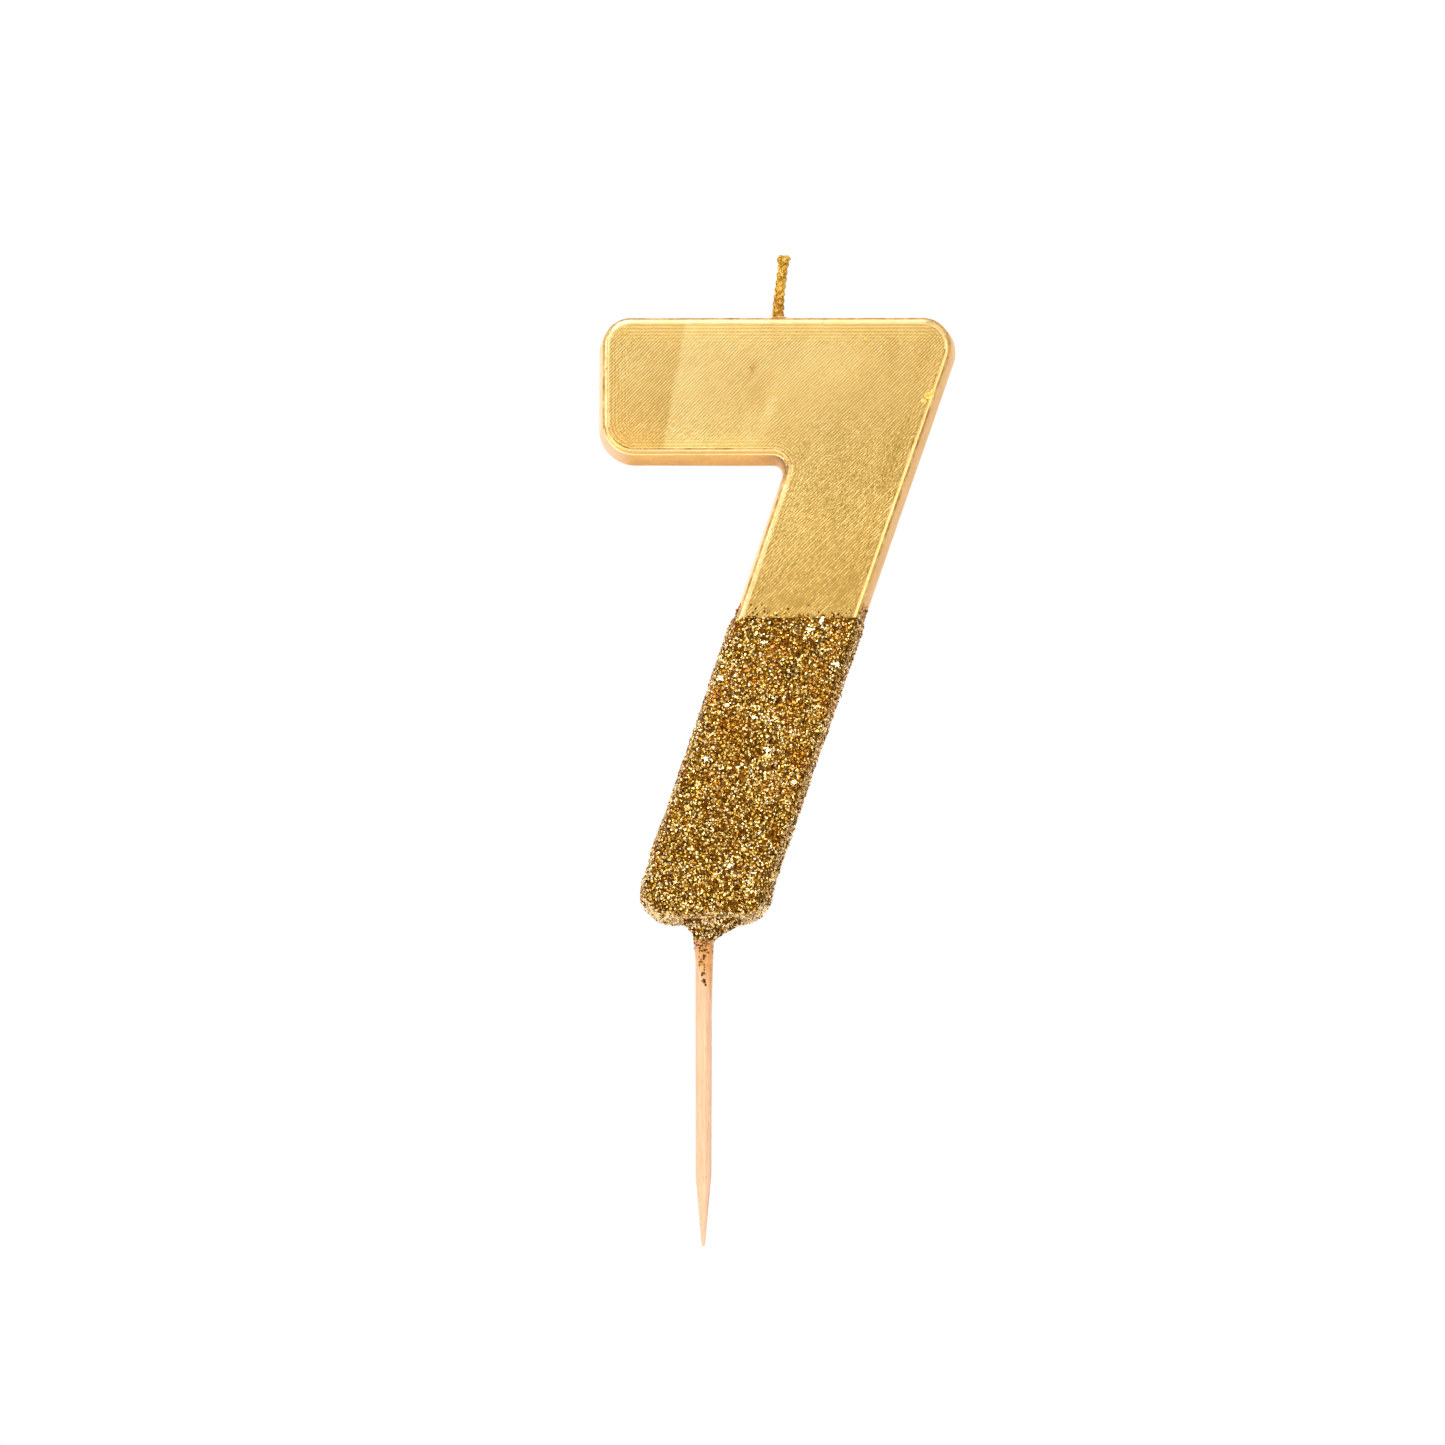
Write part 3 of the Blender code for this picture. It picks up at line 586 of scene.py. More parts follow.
def build_wax(mats):
    prof = wax_profile()
    verts, rings = [], []
    for inset, y, slot in prof:
        loop = figure(inset)
        ring = []
        for i, (x, z) in enumerate(loop):
            ring.append(len(verts))
            if slot == 5:  # the groove inside the edge runs out along the top
                a, b = loop[i - 1], loop[(i + 1) % len(loop)]
                up = -(b[0] - a[0]) / max(math.dist(a, b), 1e-9)
                verts.append([x, FACE_Y + (y - FACE_Y) * min(max((0.75 - up) / 0.5, 0.0), 1.0), z])
            else:
                verts.append([x, y, z])
        rings.append(ring)
    n = len(rings[0])
    outline = figure(0.8)
    faces, fm = [], []
    for a in range(len(rings) - 1):
        slot = prof[a + 1][2]
        r0, r1 = rings[a], rings[a + 1]
        for i in range(n):
            j = (i + 1) % n
            faces.append([r0[i], r0[j], r1[j], r1[i]])
            lean = (outline[j][1] - outline[i][1]) / math.dist(outline[i], outline[j])
            if slot == 1 and (a < 36 and lean > 0.5 or a < 37 and lean < -0.92):
                fm.append(4)  # painted shade: the brown line is wider down both sides
            elif slot in (4, 5):
                # the way this stretch of the edge looks, as painted shade: the outer step is brown except underneath,
                # the inner one is brown underneath and down the right, and darkest under the bar
                dx, dz = outline[j][0] - outline[i][0], outline[j][1] - outline[i][1]
                ox, oz = dz / math.hypot(dx, dz), -dx / math.hypot(dx, dz)
                jit = 0.12 * nz(outline[i][0], 0.0, outline[i][1], 0.8, 2.2)
                painted_shade = oz + jit > (-0.25 if ox < 0 else -0.55) if slot == 4 else oz + jit < -0.2
                fm.append(6 if slot == 5 and oz < -0.6 else 4 if painted_shade else 5)
            else:
                fm.append(slot)
    # front face
    last = prof[-1]
    loop = [(verts[i][0], verts[i][2]) for i in rings[-1]]
    extra, tris = fill(loop, 0.62, 0.34)
    off = len(verts)
    for x, z in extra:
        verts.append([x, last[1], z])
    idx = rings[-1] + list(range(off, off + len(extra)))
    for t in tris:
        a, b, c = (idx[k] for k in t)
        faces.append([a, b, c])
        fm.append(0)
    # back face
    loop = [(verts[i][0], verts[i][2]) for i in rings[0]]
    extra, tris = fill(loop, 0.8, 0.4)
    off = len(verts)
    for x, z in extra:
        verts.append([x, 5.0, z])
    idx = rings[0] + list(range(off, off + len(extra)))
    for t in tris:
        a, b, c = (idx[k] for k in t)
        faces.append([a, b, c])
        fm.append(3)
    # orient the caps: front looks to -Y and back to +Y; walls are fixed afterwards
    V = np.array(verts)
    out = []
    for f, s in zip(faces, fm):
        if len(f) == 3:
            a, b, c = V[f[0]], V[f[1]], V[f[2]]
            ny = np.cross(b - a, c - a)[1]
            want = -1 if s == 0 else 1
            f = f if ny * want > 0 else f[::-1]
        out.append(f)
    # walls: outline is counter-clockwise from the front, rings go from back to front
    f = next(f for f in out if len(f) == 4)
    a, b, c = V[f[0]], V[f[1]], V[f[2]]
    centre = np.array([8.0, 0.0, 66.0])
    if np.dot(np.cross(b - a, c - a), a - centre) < 0:
        out = [f[::-1] if len(f) == 4 else f for f in out]
    # gentle unevenness of a hand-poured casting, and a low mound round the wick
    hill = np.array([9.55, 0.0, TOP - 0.3])
    for v in verts:
        x, y, z = v
        k = ripple(x, y, z)
        if y < -4.86:
            v[1] += k
        elif y > 4.9:
            d = min(abs(x - 8.0) / 24.0, 1.0)
            v[1] += 0.04 * nz(x, y, z, 0.22, 5.5) - 0.10 * (1 - d * d) * (1 if y > 4.99 else 0.2)
        else:
            v[0] += k * 0.8
            v[2] += k * 0.8
        if z > TOP - 1.2 and abs(y) < 4.5:
            r = math.hypot(x - hill[0], y)
            v[2] += 0.22 * math.exp(-(r / 0.95) ** 2)
    P = np.array(verts)
    P[:, 2] += ZF
    ob = new_object("figure_wax", P * MM, out, mats, face_mats=fm)
    return ob


# ------------------------------------------------------------------ the wick
WICK_PATH = [(10.06, 83.74), (9.90, 82.2), (9.66, 80.2), (9.44, 78.4), (9.34, 76.6), (9.40, 74.00), (10.20, 68.50)]


def catmull(points, count):
    pts = [Vector((x, 0.0, z)) for x, z in points]
    pts = [pts[0] * 2 - pts[1]] + pts + [pts[-1] * 2 - pts[-2]]
    dense = []
    for i in range(1, len(pts) - 2):
        p0, p1, p2, p3 = pts[i - 1:i + 3]
        for k in range(60):
            t = k / 60
            dense.append(0.5 * (2 * p1 + (p2 - p0) * t + (2 * p0 - 5 * p1 + 4 * p2 - p3) * t * t + (3 * p1 - p0 - 3 * p2 + p3) * t ** 3))
    dense.append(pts[-2].copy())
    run = [0.0]
    for a, b in zip(dense, dense[1:]):
        run.append(run[-1] + (b - a).length)
    out, j = [], 0
    for k in range(count + 1):
        s = run[-1] * k / count
        while j < len(run) - 2 and run[j + 1] < s:
            j += 1
        f = (s - run[j]) / (run[j + 1] - run[j])
        out.append(dense[j].lerp(dense[j + 1], f))
    return out, run[-1]


def tube(points, radii, sides=7):
    """Closed tube with rounded ends. Points are Vectors in mm; frames are carried along."""
    verts, faces = [], []
    n = len(points)
    t_prev = (points[1] - points[0]).normalized()
    up = Vector((0, 1, 0)) if abs(t_prev.y) < 0.9 else Vector((1, 0, 0))
    side_v = t_prev.cross(up).normalized()
    for k in range(n):
        t = (points[min(k + 1, n - 1)] - points[max(k - 1, 0)]).normalized()
        side_v = (side_v - t * side_v.dot(t)).normalized()
        other = t.cross(side_v)
        for s in range(sides):
            a = math.tau * s / sides
            verts.append(points[k] + (side_v * math.cos(a) + other * math.sin(a)) * radii[k])
    for k in range(n - 1):
        for s in range(sides):
            q = (s + 1) % sides
            faces.append([k * sides + s, k * sides + q, (k + 1) * sides + q, (k + 1) * sides + s])
    a = len(verts)
    verts.append(points[0] - (points[1] - points[0]).normalized() * radii[0] * 0.6)
    b = len(verts)
    verts.append(points[-1] + (points[-1] - points[-2]).normalized() * radii[-1] * 0.6)
    for s in range(sides):
        q = (s + 1) % sides
        faces.append([q, s, a])
        faces.append([(n - 1) * sides + s, (n - 1) * sides + q, b])
    return verts, faces


def join(parts):
    verts, faces = [], []
    for v, f in parts:
        off = len(verts)
        verts += [tuple(p) for p in v]
        faces += [[i + off for i in g] for g in f]
    return verts, faces


def build_wick(mat):
    """Three plies plaited flat; every ply is a packed bundle of fine twisted yarns."""
    rng = random.Random(11)
    count = 230
    path, length = catmull(WICK_PATH, count)
    obs = []
    pitch, A, B, yarns = 2.7, 0.28, 0.16, 12
    for ply in range(3):
        parts, centre_line = [], []
        for k, c in enumerate(path):
            s = length * k / count
            t = (path[min(k + 1, count)] - path[max(k - 1, 0)]).normalized()
            across = Vector((t.z, 0, -t.x))
            ph = math.tau * (s / pitch + ply / 3.0)
            flare = 1.07 + 0.70 * math.exp(-(s / 0.80) ** 2) + 0.20 * math.exp(-((s - 7.2) / 1.9) ** 2)
            wide = flare ** 0.6 * (1.0 - 0.16 * math.exp(-s / 0.09))
            p = c + across * (A * wide * math.sin(ph)) + Vector((0, B * wide * math.sin(2 * ph), 0))
            centre_line.append((p + Vector((0, 0, ZF)), t, across, s, flare))
        # heart of the ply
        heart = [c for c in centre_line if c[3] > 0.12]
        parts.append(tube([c[0] for c in heart], [0.285 * c[4] * (1.0 - 0.5 * math.exp(-(c[3] - 0.12) / 0.06)) for c in heart], 10))
        for yarn in range(yarns):
            r0 = 0.076 + rng.uniform(-0.007, 0.010)
            pts, rad = [], []
            turn = rng.uniform(-0.3, 0.3)
            # outer yarns end lower, so the cut tip is domed
            first = centre_line[0]
            off = A * math.sin(math.tau * ply / 3.0) + 0.30 * math.cos(turn + math.tau * yarn / yarns)
            cut = rng.uniform(0.0, 0.05) + 0.26 * min((off / 0.6) ** 2, 1.2)
            for c, t, across, s, flare in centre_line:
                if s < cut:
                    continue
                w = turn + math.tau * (yarn / yarns + s / 2.3)
                spread = 0.305 * flare * (1.0 - 0.30 * math.exp(-(s - cut) / 0.09))
                p = c + across * (spread * math.cos(w)) + Vector((0, 1, 0)) * (spread * math.sin(w))
                p = p + Vector((nz(s, yarn, ply, 2.6, 2.0), nz(s, yarn, ply, 2.6, 7.0), 0)) * 0.026
                pts.append(p)
                rad.append(r0 * (1 + 0.18 * nz(s, yarn, ply, 4.0, 4.0)))
            parts.append(tube(pts, rad, 6))
        # stray cotton fibres
        for _ in range(9):
            k = rng.randrange(3, 110)
            c, t, across, s, flare = centre_line[k]
            out = (across * rng.choice([-1, 1]) + Vector((0, rng.uniform(-1, 1), 0)) + t * rng.uniform(-1.2, 0.4)).normalized()
            p0 = c + out * 0.12
            L = rng.uniform(0.18, 0.36)
            bend = t * rng.uniform(-0.2, 0.2)
            pts = [p0 + out * (L * q / 4) + bend * (q / 4) ** 2 for q in range(5)]
            parts.append(tube(pts, [0.024, 0.021, 0.018, 0.014, 0.010], 5))
        if ply == 1:
            # the frayed, glued-together end of the cord
            parts.append(blob((10.05, 0.0, 83.36 + ZF), (0.74, 0.52, 0.27), 3.3, rough=0.22))
        verts, faces = join(parts)
        obs.append(new_object("wick_ply_%d_yarns" % (ply + 1), np.array(verts) * MM, faces, [mat]))
    return obs


def blob(centre, size, seed, squash_axis=None, rings=14, segs=20, rough=0.18):
    """A closed uneven lump."""
    verts, faces = [], []
    for i in range(1, rings):
        a = math.pi * i / rings
        for j in range(segs):
            b = math.tau * j / segs
            d = Vector((math.sin(a) * math.cos(b), math.sin(a) * math.sin(b), math.cos(a)))
            k = 1 + rough * nz(d.x, d.y, d.z, 1.6, seed)
            verts.append(Vector((centre[0] + d.x * size[0] * k, centre[1] + d.y * size[1] * k, centre[2] + d.z * size[2] * k)))
    top = len(verts)
    verts.append(Vector((centre[0], centre[1], centre[2] + size[2])))
    bot = len(verts)
    verts.append(Vector((centre[0], centre[1], centre[2] - size[2])))
    for i in range(rings - 2):
        for j in range(segs):
            k = (j + 1) % segs
            faces.append([i * segs + j, (i + 1) * segs + j, (i + 1) * segs + k, i * segs + k])
    for j in range(segs):
        k = (j + 1) % segs
        faces.append([top, j, k])
        faces.append([bot, (rings - 2) * segs + k, (rings - 2) * segs + j])
    return verts, faces


# ------------------------------------------------------------------ the pick
def pick_radius(z):
    if z < 8.6:
        f = max(z, 0) / 8.6
        return 0.17 + (0.97 - 0.17) * f ** 0.92
    return 0.97 + 0.05 * min((z - 8.6) / 27.7, 1.0)


def build_pick(mat):
    segs = 44
    zs = [0.0, 0.06] + [0.2 + k * 0.2 for k in range(44)] + [9.0 + k * 0.42 for k in range(118)]
    zs = [z for z in zs if z < 58.0] + [58.05, 58.3]
    verts, faces = [], []
    rows = []
    for z in zs:
        r = pick_radius(z)
        if z == 0.0:
            r *= 0.8
        if z > 58.1:
            r *= 0.75
        row = []
        for s in range(segs):
            a = math.tau * s / segs
            k = 1 + 0.012 * nz(math.cos(a) * 2, math.sin(a) * 2, z * 0.05, 1.0, 2.0) + 0.010 * nz(math.cos(a) * 9, math.sin(a) * 9, z * 0.12, 1.0, 8.0)
            if z < 9.2:  # knife flats on the sharpened end
                flat = abs(math.cos(3.5 * a + 0.4))
                k *= 1 - 0.045 * flat * min(1.0, (9.2 - z) / 1.6)
            if 8.2 < z < 9.1:
                k *= 1 - 0.012 * (nz(a * 3, z * 6, 0, 1.0, 5.0) > 0.1)
            bx = 0.05 * math.sin(z * 0.06)
            row.append(len(verts))
            verts.append(Vector((r * k * math.cos(a) - 0.03 + bx, r * k * math.sin(a), z)))
        rows.append(row)
    for a, b in zip(rows, rows[1:]):
        for s in range(segs):
            q = (s + 1) % segs
            faces.append([a[s], a[q], b[q], b[s]])
    faces.append(rows[0][::-1])
    faces.append(rows[-1])
    ob = new_object("wooden_pick", np.array([tuple(v) for v in verts]) * MM, faces, [mat])
    ob.data.set_sharp_from_angle(angle=math.radians(40))
    return ob


# ------------------------------------------------------------------ glue, collar and film
GROW = (0.24, 0.10, 0.16)


def glue_shell():
    """Closed lumpy glue body the flakes sit in: it follows the stem a little outside the wax."""
    prof = [(0.60, 5.17), (0.30, 5.16), (0.10, 5.08), (0.0, 4.90)]
    for k in range(1, 21):
        t = k / 20
        prof.append((0.58 * t, 4.90 - 9.15 * t))
    for k in range(1, 7):
        w = 0.5 * math.pi * k / 6
        prof.append((0.58 + 0.62 * (1 - math.cos(w)), -4.25 - 0.90 * math.sin(w)))
    prof.append((1.5, -5.16))
    verts, rings = [], []
    for inset, y in prof:
        ring = []
        for x, z in stem(inset, GROW, DIP - 0.04):
            ring.append(len(verts))
            verts.append([x, y, z])
        rings.append(ring)
    n = len(rings[0])
    faces = []
    for r0, r1 in zip(rings, rings[1:]):
        for i in range(n):
            j = (i + 1) % n
            faces.append([r0[i], r0[j], r1[j], r1[i]])
    for ring, sp in ((rings[-1], 0.55), (rings[0], 0.7)):
        loop = [(verts[i][0], verts[i][2]) for i in ring]
        y = verts[ring[0]][1]
        extra, tris = fill(loop, sp, 0.3)
        off = len(verts)
        for x, z in extra:
            verts.append([x, y, z])
        idx = ring + list(range(off, off + len(extra)))
        for t in tris:
            f = [idx[k] for k in t]
            a, b, c = (np.array(verts[k]) for k in f)
            if np.cross(b - a, c - a)[1] * y < 0:
                f = f[::-1]
            faces.append(f)
    V = np.array(verts)
    f = faces[0]
    a, b, c = V[f[0]], V[f[1]], V[f[2]]
    centre = np.array([-1.0 + 0.34 * a[2], 0.0, a[2]])
    if np.dot(np.cross(b - a, c - a), a - centre) < 0:
        faces = [g[::-1] if len(g) == 4 else g for g in faces]
    return V, faces


def lumpy(V, faces, amp=1.0):
    """Displace along vertex normals with soft lumps."""
    N = np.zeros_like(V)
    for f in faces:
        a, b, c = V[f[0]], V[f[1]], V[f[2]]
        nn = np.cross(b - a, c - a)
        for i in f:
            N[i] += nn
    N /= np.maximum(np.linalg.norm(N, axis=1), 1e-9)[:, None]
    out = V.copy()
    for i, (x, y, z) in enumerate(V):
        k = 0.10 * nz(x, y, z, 0.42, 1.0) + 0.07 * nz(x, y, z, 1.15, 4.0) + 0.03 * nz(x, y, z, 2.9, 6.0)
        k += 0.34 * max(N[i][0], 0.0) * math.exp(-((x - 8.0) / 2.6) ** 2 - ((z - 2.4) / 2.2) ** 2)
        k += 0.20 * max(-N[i][0], 0.0) * math.exp(-((z - 10.5) / 2.6) ** 2) + 0.08 * max(N[i][0], 0.0)
        if z > DIP - 0.6:
            k *= 0.3
        out[i] += N[i] * k * amp
    return out, N


def triangles(V, faces):
    T = []
    for f in faces:
        for i in range(1, len(f) - 1):
            T.append((f[0], f[i], f[i + 1]))
    return np.array(T)


def scatter(V, N, T, count, rng, keep=None):
    """Area-weighted random points on triangles, with smooth normals."""
    A, B, C = V[T[:, 0]], V[T[:, 1]], V[T[:, 2]]
    area = 0.5 * np.linalg.norm(np.cross(B - A, C - A), axis=1)
    if keep is not None:
        area = area * keep((A + B + C) / 3, N[T].mean(1))
    pick = rng.choice(len(T), size=count, p=area / area.sum())
    u, v = rng.random(count), rng.random(count)
    flip = u + v > 1
    u[flip], v[flip] = 1 - u[flip], 1 - v[flip]
    w = 1 - u - v
    t = T[pick]
    P = V[t[:, 0]] * w[:, None] + V[t[:, 1]] * u[:, None] + V[t[:, 2]] * v[:, None]
    Q = N[t[:, 0]] * w[:, None] + N[t[:, 1]] * u[:, None] + N[t[:, 2]] * v[:, None]
    return P, Q / np.maximum(np.linalg.norm(Q, axis=1), 1e-9)[:, None]


def flakes(name, P, N, rng, mats, slots, size=(0.17, 0.25), tilt=0.42, lift=(0.0, 0.2), thick=0.035, aim=None):
    """Closed hexagonal foil flakes at P, lying roughly square to N."""
    n = len(P)
    axis = N + rng.normal(0, tilt, (n, 3))
    if aim is not None:
        axis = aim + rng.normal(0, 0.004, (n, 3))
    axis /= np.linalg.norm(axis, axis=1)[:, None]
    ref = rng.normal(0, 1, (n, 3))
    U = np.cross(axis, ref)
    U /= np.linalg.norm(U, axis=1)[:, None]
    W = np.cross(axis, U)
    r = rng.uniform(size[0], size[1], n)
    C = P + N * rng.uniform(lift[0], lift[1], n)[:, None]
    ring = []
    for k in range(6):
        a = math.tau * k / 6
        ring.append((U * math.cos(a) + W * math.sin(a)) * (r * rng.uniform(0.86, 1.06, n))[:, None])
    ring = np.stack(ring, 1)
    up = axis * (thick * 0.5)
    V = np.concatenate([ring + C[:, None, :], (C + up)[:, None, :], (C - up)[:, None, :]], 1).reshape(-1, 3)
    base = (np.arange(n) * 8)[:, None]
    # twelve facets a flake: six round a low point on each side
    tri = np.stack([np.stack([base[:, 0] + k, base[:, 0] + (k + 1) % 6, base[:, 0] + 6], 1) for k in range(6)]
                   + [np.stack([base[:, 0] + (k + 1) % 6, base[:, 0] + k, base[:, 0] + 7], 1) for k in range(6)], 1).reshape(-1, 3)
    mesh = bpy.data.meshes.new(name)
    V = V.copy()
    V[:, 2] += ZF
    mesh.vertices.add(len(V))
    mesh.vertices.foreach_set("co", (V * MM).astype(np.float32).ravel())
    loops = tri.ravel()
    starts = np.arange(len(tri)) * 3
    mesh.loops.add(len(loops))
    mesh.loops.foreach_set("vertex_index", loops.astype(np.int32))
    mesh.polygons.add(len(starts))
    mesh.polygons.foreach_set("loop_start", starts.astype(np.int32))
    mesh.polygons.foreach_set("loop_total", np.full(len(starts), 3, np.int32))
    for m in mats:
        mesh.materials.append(m)
    mesh.polygons.foreach_set("material_index", np.repeat(slots(n), 12).astype(np.int32))
    mesh.polygons.foreach_set("use_smooth", np.zeros(len(starts), bool))
    mesh.update(calc_edges=True)
    # one small cell of the map for each flake, so that each keeps its own shade
    cells = int(math.ceil(math.sqrt(n)))
    owner = loops // 8
    cu, cv = (owner % cells + 0.5) / cells, (owner // cells + 0.5) / cells
    k = loops % 8
    reach = np.where(k < 6, 0.3, 0.0) / cells
    du, dv = reach * np.cos(math.tau * k / 6), reach * np.sin(math.tau * k / 6)
    uv = mesh.uv_layers.new(name="OFBake")
    uv.data.foreach_set("uv", np.stack([cu + du, cv + dv], 1).astype(np.float32).ravel())
    ob = bpy.data.objects.new(name, mesh)
    bpy.context.scene.collection.objects.link(ob)
    mesh.validate()
    return ob


def build_collar():
    """Meniscus under the foot: a short concave curve on the left, a sagging drop on the right."""
    rows, verts, faces = [], [], []
    segs, steps = 40, 22
    rows_z = [1.1, 0.75, 0.4] + [-2.25 * k / steps for k in range(steps + 1)]
    for z in rows_z:
        u = min(max(-z / 2.25, 0), 1)
        left = -1.10 - 1.35 * (1 - u) ** 2.1
        right = 1.14 + 3.75 * (1 - u) ** 1.25 * (1 - 0.25 * u) if u < 0.999 else 1.14
        dep = 1.08 + 1.35 * (1 - u) ** 1.8
        row = []
        for s in range(segs):
            a = math.tau * s / segs
            cx, rx = 0.5 * (left + right), 0.5 * (right - left)
            x, y = cx + rx * math.cos(a), dep * math.sin(a)
            k = 0.09 * nz(x, y, z, 0.9, 3.0) + 0.05 * nz(x, y, z, 2.4, 5.0)
            nrm = Vector((math.cos(a), math.sin(a), 0))
            row.append(len(verts))
            verts.append([x + nrm.x * k, y + nrm.y * k, z + (0.06 * nz(x, y, z, 1.2, 9.0) if z < -0.2 else 0)])
        rows.append(row)
    for a, b in zip(rows, rows[1:]):
        for s in range(segs):
            q = (s + 1) % segs
            faces.append([a[q], a[s], b[s], b[q]])
    faces.append(rows[0])
    faces.append(rows[-1][::-1])
    V = np.array(verts)
    N = np.zeros_like(V)
    for f in faces:
        if len(f) > 4:
            continue
        nn = np.cross(V[f[1]] - V[f[0]], V[f[2]] - V[f[0]])
        for i in f:
            N[i] += nn
    N /= np.maximum(np.linalg.norm(N, axis=1), 1e-9)[:, None]
    return V, faces, N


def build_film(mat):
    """Film of glue on the pick: ends higher on the left and runs lower on the right."""
    segs, steps = 44, 40
    verts, faces, outer, inner = [], [], [], []
    for k in range(steps + 1):
        u = k / steps
        ro, ri = [], []
        for s in range(segs):
            a = math.tau * s / segs
            end = 7.6 + 3.2 * math.cos(a - 0.25) + 0.9 * nz(math.cos(a) * 2, math.sin(a) * 2, 0, 1.0, 4.4)
            z = -2.0 - (end - 2.0) * u
            base = pick_radius(ZF + z)
            t = 0.02 + 0.26 * (1 - u) ** 1.7 + 0.03 * (1 - u) * nz(math.cos(a) * 2, math.sin(a) * 2, z, 0.8, 7.7)
            bx = 0.05 * math.sin((ZF + z) * 0.06) - 0.03
            if k == steps:
                t = 0.006
            for r, lst in ((base + t, ro), (base - 0.05, ri)):
                lst.append(len(verts))
                verts.append([r * math.cos(a) + bx, r * math.sin(a), z + ZF])
        outer.append(ro)
        inner.append(ri)
    for k in range(steps):
        for s in range(segs):
            q = (s + 1) % segs
            faces.append([outer[k][s], outer[k + 1][s], outer[k + 1][q], outer[k][q]])
            faces.append([inner[k][q], inner[k + 1][q], inner[k + 1][s], inner[k][s]])
    for s in range(segs):
        q = (s + 1) % segs
        faces.append([outer[0][s], outer[0][q], inner[0][q], inner[0][s]])
        faces.append([outer[-1][q], outer[-1][s], inner[-1][s], inner[-1][q]])
    faces = winding_out(verts, faces)
    return new_object("glue_film_on_pick", np.array(verts) * MM, faces, [mat])


# ------------------------------------------------------------------ build everything
face_m, edge_m, wall_m = gold_face(), gold_edge(), gold_wall()
back_m = gold_wall("gold_paint_back", False)
wax = build_wax([face_m, edge_m, wall_m, back_m, gold_line("gold_paint_line_brown", True), gold_line("gold_paint_line_pale", False),
                 gold_line("gold_paint_line_deep", True, 0.6)])
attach(wax, "root")
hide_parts("wax_body")

cotton = cotton_material()
for i, ob in enumerate(build_wick(cotton)):
    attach(ob, "root")
    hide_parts("wick_ply_%d" % (i + 1))

# pale wax drawn up the left of the wick's base
v1, f1 = blob((8.62, -0.30, TOP + 0.22 + ZF), (0.15, 0.30, 0.62), 4.0)
v2, f2 = blob((9.50, -0.20, TOP - 0.12 + ZF), (0.90, 0.80, 0.16), 8.0)
vv, ff = join([(v1, f1), (v2, f2)])
climb = new_object("wax_at_wick_base", np.array(vv) * MM, ff, [wax_bare()])
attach(climb, "root")

pick = build_pick(wood_material())
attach(pick, "root")
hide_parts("pick")

film = build_film(film_material())
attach(film, "root")
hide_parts("glue_run")

glue_m = glue_material()
gV, gF = glue_shell()
gV, gN = lumpy(gV, gF)
shell = new_object("glue_layer", (gV + np.array([0, 0, ZF])) * MM, gF, [glue_m])
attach(shell, "root")
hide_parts("glitter_coat")

cV, cF, cN = build_collar()
collar = new_object("collar_glue", (cV + np.array([0, 0, ZF])) * MM, cF, [glue_m])
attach(collar, "root")
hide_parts("glue_collar")

# foil shades, dark to pale
GOLDS = [(0.0, (0.045, 0.012, 0.0002)), (0.20, (0.13, 0.045, 0.001)), (0.38, (0.33, 0.145, 0.008)), (0.56, (0.64, 0.36, 0.045)),
         (0.69, (0.90, 0.63, 0.17)), (0.84, (0.98, 0.83, 0.42)), (1.0, (1.0, 0.94, 0.66))]
# painted light: PALE_GOLDS for the flakes on the sides and ROSE_GOLDS for those underneath are paler copies of the
# foil, for the light the sides and underside catch
PALE_GOLDS = [(0.0, (0.09, 0.028, 0.004)), (0.30, (0.22, 0.085, 0.014)), (0.46, (0.90, 0.54, 0.24)),
              (0.70, (1.0, 0.79, 0.50)), (1.0, (1.0, 0.92, 0.74))]
ROSE_GOLDS = [(0.0, (0.46, 0.23, 0.045)), (0.18, (0.86, 0.55, 0.18)), (0.45, (1.0, 0.77, 0.40)), (1.0, (1.0, 0.93, 0.70))]
foil_a = flake_material("foil_a", GOLDS, (0.06, 0.20), heat=0.55)
foil_b = flake_material("foil_b", GOLDS, (0.14, 0.34), heat=0.55)
foil_side = flake_material("foil_side", PALE_GOLDS, (0.14, 0.36), 0.86, 0.2, (1.0, 0.88, 0.66))
foil_under = flake_material("foil_under", ROSE_GOLDS, (0.22, 0.45), 0.22, 0.0, (1.0, 0.86, 0.55))
foil_dark = flake_material("foil_dark", [(0.0, (0.030, 0.008, 0.0)), (0.45, (0.10, 0.033, 0.001)), (0.8, (0.30, 0.13, 0.010)), (1.0, (0.8, 0.5, 0.12))], (0.35, 0.6), 0.9, 0.0)
glint_m = flake_material("foil_glint", [(0.0, (0.97, 0.76, 0.36)), (0.5, (1.0, 0.86, 0.50)), (1.0, (1.0, 0.94, 0.66))], (0.14, 0.22), 1.0, 0.0)
rng = np.random.default_rng(7)
two = lambda n: rng.integers(0, 2, n)
gT = triangles(gV, gF)
scale = 1.0


def below_rim(c, n):
    ok = (c[:, 2] < DIP - 0.10) & (n[:, 2] < 0.8)
    return ok.astype(float)


def front(c, n):
    bare = (c[:, 2] > DIP - 0.30) & (((c[:, 0] > 7.2) & (c[:, 0] < 11.0)) | ((c[:, 0] > 15.6) & (c[:, 0] < 19.6)))
    return below_rim(c, n) * (c[:, 1] < -4.2) * ~bare * (n[:, 0] > -0.55)


def rear(c, n):
    return below_rim(c, n) * (c[:, 1] > 4.6)


def under(c, n):
    return below_rim(c, n) * (c[:, 1] <= 4.6) * (n[:, 2] < -0.42) * (n[:, 1] > -0.80)


def sides(c, n):
    return below_rim(c, n) * ((c[:, 1] >= -4.5) | (n[:, 0] <= -0.5)) * (c[:, 1] <= 4.6) * (n[:, 2] >= -0.42)


